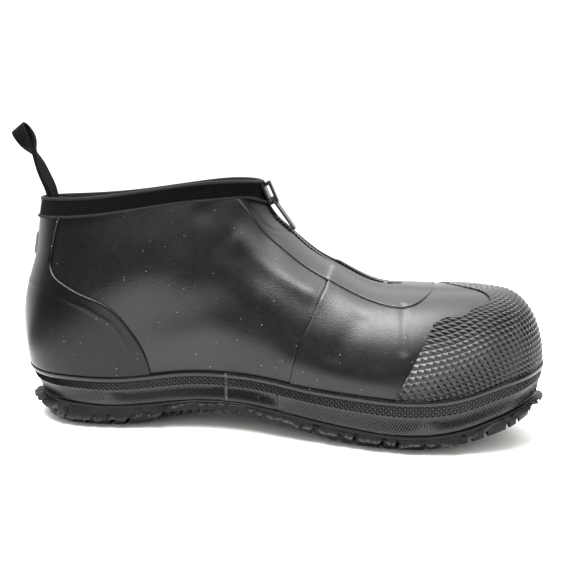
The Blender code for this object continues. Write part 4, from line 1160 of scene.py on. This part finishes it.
def lug_blocks():
    """Tapered blocks under the plate. Those next to the skirt are shorter at their outer edge."""
    points, faces = [], []
    for start, stop, bar in lug_rows():
        start, stop = max(start, 0.08), min(stop, HEEL - 0.08)
        for low, high in [(0.0, 1.0)] if bar else LUG_LANES:
            lanes = np.linspace(low, high, 9 if bar else 3)
            plan = [across_sole(np.full(len(lanes), s), lanes, -3.5 * MM, 7 * MM) for s in (start, stop)]
            root = np.concatenate(plan)
            middle = root.mean(axis=0)
            foot = middle + (root - middle) * 0.9
            lane = np.tile(lanes, 2)
            at_rim = (lane < 0.01) | (lane > 0.99)
            bottom = edge_height(foot[:, 0], 1) + at_rim * 1.2 * MM
            first, n = sum(len(p) for p in points), len(lanes)
            points.append(np.column_stack([root, edge_height(root[:, 0], 2) + 1.5 * MM]))
            points.append(np.column_stack([foot, bottom]))
            ring = [*range(n), *range(2 * n - 1, n - 1, -1)]
            for level in (0, 2 * n):
                for k in range(n - 1):
                    faces.append([first + level + c for c in (k, k + 1, n + k + 1, n + k)])
            for a, b in zip(ring, ring[1:] + ring[:1]):
                faces.append([first + a, first + b, first + 2 * n + b, first + 2 * n + a])
    return np.concatenate(points) - ORIGIN, faces


lugs = assemble("outsole_lugs", *lug_blocks())
apply_modifier(lugs, "BEVEL", width=0.5 * MM, segments=2, limit_method="ANGLE", angle_limit=math.radians(40))
shade(lugs, 40, sole_rubber)
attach(lugs, "shoe")


# Side band: calendered rubber strip wound around the joint of upper and outsole and vulcanised on. From
# below it has fine slanted ribs, rows of small diamonds and a plain bead. It is spliced on the inner side.
# Six columns make a diamond and three make a rib. The real ribs are a little finer than the picture can show.
BAND_COLUMNS = 1440
BEAD = np.array([
    # millimetres below the top and out from the last
    (3.5, 1.2), (3.2, 2.0), (2.6, 2.35), (1.7, 2.5), (0.9, 2.4), (0.3, 2.05), (0.4, 1.6),
])
RIB_ROWS, DIAMOND_ROWS, BEAD_ROWS = 6, 12, len(BEAD)
FIRST_DIAMOND = 3 + RIB_ROWS
FIRST_BEAD = FIRST_DIAMOND + DIAMOND_ROWS + 1
BAND_ROWS = FIRST_BEAD + BEAD_ROWS + 1
BAND_EDGE, BAND_GROUND = 1.4 * MM, 0.9 * MM  # how far the lower edge and the ground stand out from the last
RIB_DEPTH, DIAMOND_DEPTH = 0.5 * MM, 1.2 * MM
RIB_LEAN, RIB_HEIGHT = 0.75, 8.5 * MM
LEAN_TURNS, LEAN_FADE = (2.80, 4.62, 7.05), 6  # sections where the ribs' slant changes, over millimetres
SPLICE, JOINT = -5.44, -4.66  # sections of the lapped end, and of a gap in the ribs
SPLICE_LENGTH = 14  # millimetres


def band_place(i, j):
    girth = loop_way[-1]
    along = i / BAND_COLUMNS * girth
    section = np.interp(along, loop_way, loop)
    lean = np.tanh((HEEL - np.abs(section)) * FLAT[0] / LEAN_FADE)
    for turn in (0, *LEAN_TURNS):
        lean = lean * np.tanh((np.abs(section) - turn) * FLAT[0] / LEAN_FADE)
    rib_share = np.clip((j - 2) / RIB_ROWS, 0, 1)
    in_ribs = j <= 2 + RIB_ROWS
    slanted = along - in_ribs * np.sign(section) * lean * RIB_LEAN * (rib_share - 0.5) * RIB_HEIGHT
    section = np.interp(slanted % girth, loop_way, loop)
    foot, out = foot_line(section)
    low = (sole_top(foot[:, 0] / LENGTH) + ABOVE_SOLE) * MM
    high = band_top(foot[:, 0] / LENGTH) * MM
    # The lower edge rests on the lip of the outsole. Ribs end in the middle and diamonds under the bead.
    edge = (sole_top((foot[:, 0] + out[:, 0] * 4.2 * MM) / LENGTH) + 0.6) * MM
    middle = low + (high - low) * 0.5
    neck = high - 3.8 * MM
    up = np.clip((j - FIRST_DIAMOND) / DIAMOND_ROWS, 0, 1)
    below, bead_out = BEAD[np.clip(j - FIRST_BEAD, 0, BEAD_ROWS - 1)].T * MM
    rib = RIB_DEPTH * np.array([0, 1, 0.4])[i % 3] * (j > 2) * np.clip(4 - 4 * rib_share, 0, 1)
    flare = 0.3 * MM * (1 - rib_share)
    lattice = ((i + j - FIRST_DIAMOND) % 6 == 0) | ((i - j + FIRST_DIAMOND) % 6 == 0)
    ribs_up = edge + 0.3 * MM + (middle - edge - 0.3 * MM) * rib_share
    diamonds_up = middle + 0.5 * MM + (neck - middle - 0.5 * MM) * up
    diamonds_out = BAND_GROUND + DIAMOND_DEPTH * (lattice & (j > FIRST_DIAMOND))
    zones = [j == 0, j == 1, in_ribs, j < FIRST_BEAD, j < FIRST_BEAD + BEAD_ROWS, j == BAND_ROWS - 1]
    height = np.select(zones, [low, edge, ribs_up, diamonds_up, high - below, high - 1.9 * MM], low)
    lift = np.select(
        zones,
        [0.3 * MM, BAND_EDGE, BAND_GROUND + rib + flare, diamonds_out, bead_out, 0.2 * MM],
        0.3 * MM,
    )
    # The lapped end stands out, and settles over the length of the splice.
    past = (section - SPLICE) * FLAT[0]
    face = (j > 0) & (j < BAND_ROWS - 1)
    lift = lift + face * 0.5 * MM * np.where(past > 0, 1 - np.clip(past / SPLICE_LENGTH, 0, 1), 0)
    gap = np.exp(-(((section - JOINT) * FLAT[0] / 0.7) ** 2)) * (j < FIRST_DIAMOND)
    lift = lift - face * 0.7 * MM * gap
    level_out = np.concatenate([out, 0 * out[:, :1]], axis=1)
    return on_last(section, share_at(section, height)) + level_out * lift[:, None]


def splice_pale_line(points):
    """Pale line along the lapped end of the strip."""
    aside = points[:, 0] - (foot_x(SPLICE) - ORIGIN[0])
    return 0.2 * np.exp(-((aside / (0.7 * MM)) ** 2)) * (points[:, 1] < 0)


band = lay("side_band_strip", BAND_COLUMNS, BAND_ROWS, band_place)
pale_lines_and_highlights(band, splice_pale_line)
close(band)
shade(band, 28, moulded_rubber)
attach(band, "shoe")
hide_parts("side_band")


# Collar binding: woven tape folded over the collar and sewn, with a corded lower edge and a corded fold
# that is worn grey. Its two ends lap on the inner side in a slanting seam and it stops at the zip.
BINDING_START = 5.535
SEAM_TOP, SEAM_LOW = 6.05, 5.90  # sections where the ends lap, at the fold and at the lower edge
TAPE_RIBS = 6
# Ribbed tape: nearly black, with close ribs that hold no highlight.
tape_cloth = cloth("black_ribbed_tape", "#020203", "#050506", 0.8 * MM, 0.8)
# Corded edge: the same thread wound tight, worn grey along the fold.
cord_cloth = cloth("grey_worn_cord", "#0e0e0f", "#272624", 0.7 * MM, 0.65)


def binding_profile():
    """Millimetres below the top, lift and finish, from the lower edge over the fold to the inner edge."""
    rows = [(11.4, 0.2, 0)]
    # The corded lower edge, the ribs, the corded fold and the inner face, which closes along the wall.
    for turn in np.linspace(-0.5, 1.0, 9) * math.pi:
        rows.append((10.6 - 0.85 * math.sin(turn), 1.75 + 0.85 * math.cos(turn), 1))
    for n in range(TAPE_RIBS * 4 + 1):
        rows.append((9.4 - n / (TAPE_RIBS * 4) * 8.4, 1.5 + 0.25 * math.cos(n / 2 * math.pi), 0))
    for turn in np.linspace(-0.35, 1.1, 10) * math.pi:
        rows.append((-0.7 - 1.15 * math.sin(turn), 1.0 + 1.15 * math.cos(turn), 1))
    for share in np.linspace(0, 1, 6):
        rows.append((-0.4 + 6.4 * share, -2.9 - 1.0 * min(1, share * 3), 0))
    rows += [(6.0, -2.8, 0), (-0.5, -2.8, 0), (-0.5, 0.2, 0)]
    return np.array(rows)


PROFILE = binding_profile()


def beside_collar(section, below, lift):
    """Points beside the collar edge, below it on the wall or (minus) above it."""
    top = on_last(section, 1.0, lift)
    rise = unit(on_last(section, 1.0) - on_last(section, below_top(section, 3 * MM)))
    above = top - rise * below[..., None]
    wall = on_last(section, below_top(section, np.maximum(below, 0)), lift)
    return np.where((below > 0)[..., None], wall, above)


def beside_zip(side, below, lift):
    """Points at the tape's ends, as far down the zip as they lie below the collar."""
    run = (SECTIONS > THROAT - 0.4) & (SECTIONS <= THROAT)
    level = RIBS[run, -1, 2]
    section = np.interp(level[-1] - 0.95 * np.maximum(below, 0), level, SECTIONS[run])
    return on_last(side * section, below_top(section, 5.2 * MM), lift)


def binding_part(name, columns, start, stop, over, side):
    """A length of the tape, on to the zip. Start and stop are sections at the fold and at the lower edge."""
    count, extra = len(PROFILE), 10

    def place(i, j):
        below, lift, _ = PROFILE[j % count].T
        slant = np.clip(below * MM / BINDING_HEIGHT, 0, 1)
        first, last = (a + (b - a) * slant for a, b in (start, stop))
        share = (i - extra) / columns if side > 0 else i / columns
        section = first + (last - first) * np.clip(share, 0, 1)
        outer = (lift > 0) * over
        points = beside_collar(section, below * MM, (lift + outer) * MM)
        past = np.clip((extra - i if side > 0 else i - columns) / extra, 0, 1)[:, None]
        return points * (1 - past) + beside_zip(side, below * MM, (lift + outer) * MM) * past

    made = lay(name, columns + extra, count, place)
    rows = np.arange(len(made.data.polygons)) // (columns + extra)
    made.data.polygons.foreach_set("material_index", PROFILE[rows % count, 2].astype(np.int32))
    close(made, holes=True)
    shade(made, 50, tape_cloth, cord_cloth)
    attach(made, "shoe")
    return made


seam = 2 * HEEL - np.array([SEAM_TOP, SEAM_LOW])
binding = binding_part("collar_binding_tape", 400, (BINDING_START, BINDING_START), seam, 0, 1)
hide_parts("collar_binding")
zip_side = 2 * HEEL - BINDING_START
binding_part("collar_binding_end", 40, seam - 0.03, (zip_side, zip_side), 0.8, -1)


# Pull loop: a strip of webbing tape, doubled and sewn in under the binding at the back of the collar. It is
# worn soft, leans back and twists.
TAPE_WIDTH, WEBBING = 10.5, 1.5  # millimetres
LOOP_ASIDE = -4  # millimetres to the inner side
LOOP_PATH = np.array([
    # along, up, twist in degrees, gap between the layers
    (14.8, 131, 0, 1.6),
    (14.8, 139, 0, 2.0),
    (13.2, 147, 6, 1.6),
    (9.6, 155.3, 10, 0.9),
    (6.0, 164.0, 0, 0.6),
    (2.6, 170.9, -30, 2.6),
    (-0.9, 177, -62, 5.5),
    (-4.2, 181.8, -82, 6.5),
])
# Webbing: dull black threads, a shade lighter than the binding.
webbing_cloth = cloth("black_webbing", "#050506", "#0c0c0d", 0.9 * MM, 0.8)


def loop_strip():
    """Middles of the strip up, over the fold and down, with its wide direction at each."""
    path_way = way_along(LOOP_PATH[:, :2])
    along, up, twist, gap = (smooth_curve(path_way, LOOP_PATH[:, i]) for i in range(4))
    end = path_way[-1]
    reach = gap(end) / 2
    turn = np.linspace(0, math.pi, 15)[1:-1]
    rise = np.linspace(0, end, 60)
    places = np.concatenate([rise, end + 1.3 * reach * np.sin(turn), rise[::-1]])
    offs = np.concatenate([gap(rise) / 2, reach * np.cos(turn), -gap(rise[::-1]) / 2])
    inside = np.minimum(places, end)
    steps = [curve(inside + 1) - curve(inside - 1) for curve in (along, up)]
    ahead = unit(np.stack([steps[0], 0 * inside, steps[1]], axis=1))
    middle = np.stack([along(inside), 0 * inside + LOOP_ASIDE, up(inside)], axis=1)
    middle += ahead * (places - inside)[:, None]
    angle = np.radians(twist(inside))[:, None]
    across = np.stack([-ahead[:, 2], 0 * inside, ahead[:, 0]], axis=1)
    wide = np.cos(angle) * np.array([0, 1, 0]) - np.sin(angle) * across
    return middle + np.cross(wide, ahead) * offs[:, None], wide


strip_middle, strip_wide = loop_strip()
strip_face = unit(np.cross(np.gradient(strip_middle, axis=0), strip_wide))
# Section of the webbing, in shares of its half width and half thickness: threads on both faces.
threads = np.linspace(0.94, -0.94, 15)
crown = 1 + 0.12 * np.cos(np.arange(15) * math.pi)
WEB = np.array([*zip(threads, crown), (-1, 0), *zip(-threads, -crown), (1, 0)])


def loop_place(i, j):
    wide, face = WEB[j % len(WEB)].T
    points = strip_middle[i] + strip_wide[i] * (wide * TAPE_WIDTH / 2)[:, None]
    return (points + strip_face[i] * (face * WEBBING / 2)[:, None]) * MM - ORIGIN


pull_loop = lay("pull_loop_webbing", len(strip_middle) - 1, len(WEB), loop_place)
close(pull_loop, holes=True)
shade(pull_loop, 60, webbing_cloth)
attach(pull_loop, "shoe")
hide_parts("pull_loop")


# Floor, light and camera: a pale paper floor in an even white room, with a soft box overhead and one by the
# heel. Dark cards in front and at both ends show only in reflections and keep the sides of the shoe dark.
# The camera stands where the photo was taken from.
bpy.ops.object.select_all(action="DESELECT")
bpy.ops.mesh.primitive_plane_add(size=12, location=(0, 0, 0))
floor = bpy.context.object
floor.name = "floor"
# Paper: matt and nearly white.
paper, _, _ = new_finish("white_paper_floor", {"Base Color": colour("#e2e1de"), "Roughness": 0.9})
floor.data.materials.append(paper)

# Card: matt dark grey, without a highlight of its own.
card_grey, _, _ = new_finish("dark_grey_card", {"Base Color": colour("#3e3e3e"), "Roughness": 1.0})
for name, *corners in (
    # two opposite corners of each
    ("front_card", (-1.3, -1.15, 0.005), (0.95, -1.15, 1.2)),
    ("front_floor_card", (-1.3, -1.15, 0.005), (0.95, -0.72, 0.005)),
    ("heel_floor_card", (-1.3, -0.72, 0.005), (-0.28, 0.1, 0.005)),
    ("heel_side_card", (-1.3, 0.1, 0.005), (-1.3, -1.15, 1.2)),
    ("toe_side_card", (1.3, -1.15, 0.005), (1.3, 0.3, 0.9)),
):
    low, high = np.array(corners)
    axis = np.flatnonzero(low != high)[0]
    ends = np.array([low, low, high, high])
    ends[1:3, axis] = high[axis], low[axis]
    bpy.ops.object.select_all(action="DESELECT")
    bpy.ops.mesh.primitive_plane_add(size=1, location=(0, 0, 0))
    card = bpy.context.object
    card.name = name
    card.data.vertices.foreach_set("co", ends.ravel())
    card.data.materials.append(card_grey)
    card.visible_camera = card.visible_diffuse = card.visible_shadow = False

world = bpy.data.worlds.new("white_room")
bpy.context.scene.world = world
world.use_nodes = True
world.node_tree.nodes["Background"].inputs["Color"].default_value = colour("#ffffff")
world.node_tree.nodes["Background"].inputs["Strength"].default_value = 1.75

for name, place, tilt, turn, wide, deep, watts in (
    ("ceiling_light", (0, 0.35, 1.2), 0, 0, 1.9, 1.5, 28),
    ("key_light", (-0.24, -0.42, 1.0), 27, -30, 0.75, 0.4, 17),
):
    angles = (math.radians(tilt), 0, math.radians(turn))
    bpy.ops.object.light_add(type="AREA", location=place, rotation=angles)
    box = bpy.context.object
    box.name = name
    box.data.shape = "RECTANGLE"
    box.data.size, box.data.size_y, box.data.energy = wide, deep, watts
    box.visible_camera = False

angles = (math.radians(80.7), 0, math.radians(9.5))
bpy.ops.object.camera_add(location=(0.10768, -0.57694, 0.18), rotation=angles)
camera = bpy.context.object
camera.data.sensor_width = 36
camera.data.lens = 58.47
camera.data.clip_start = 0.01
bpy.context.scene.camera = camera
bpy.context.scene.view_settings.view_transform = "Standard"
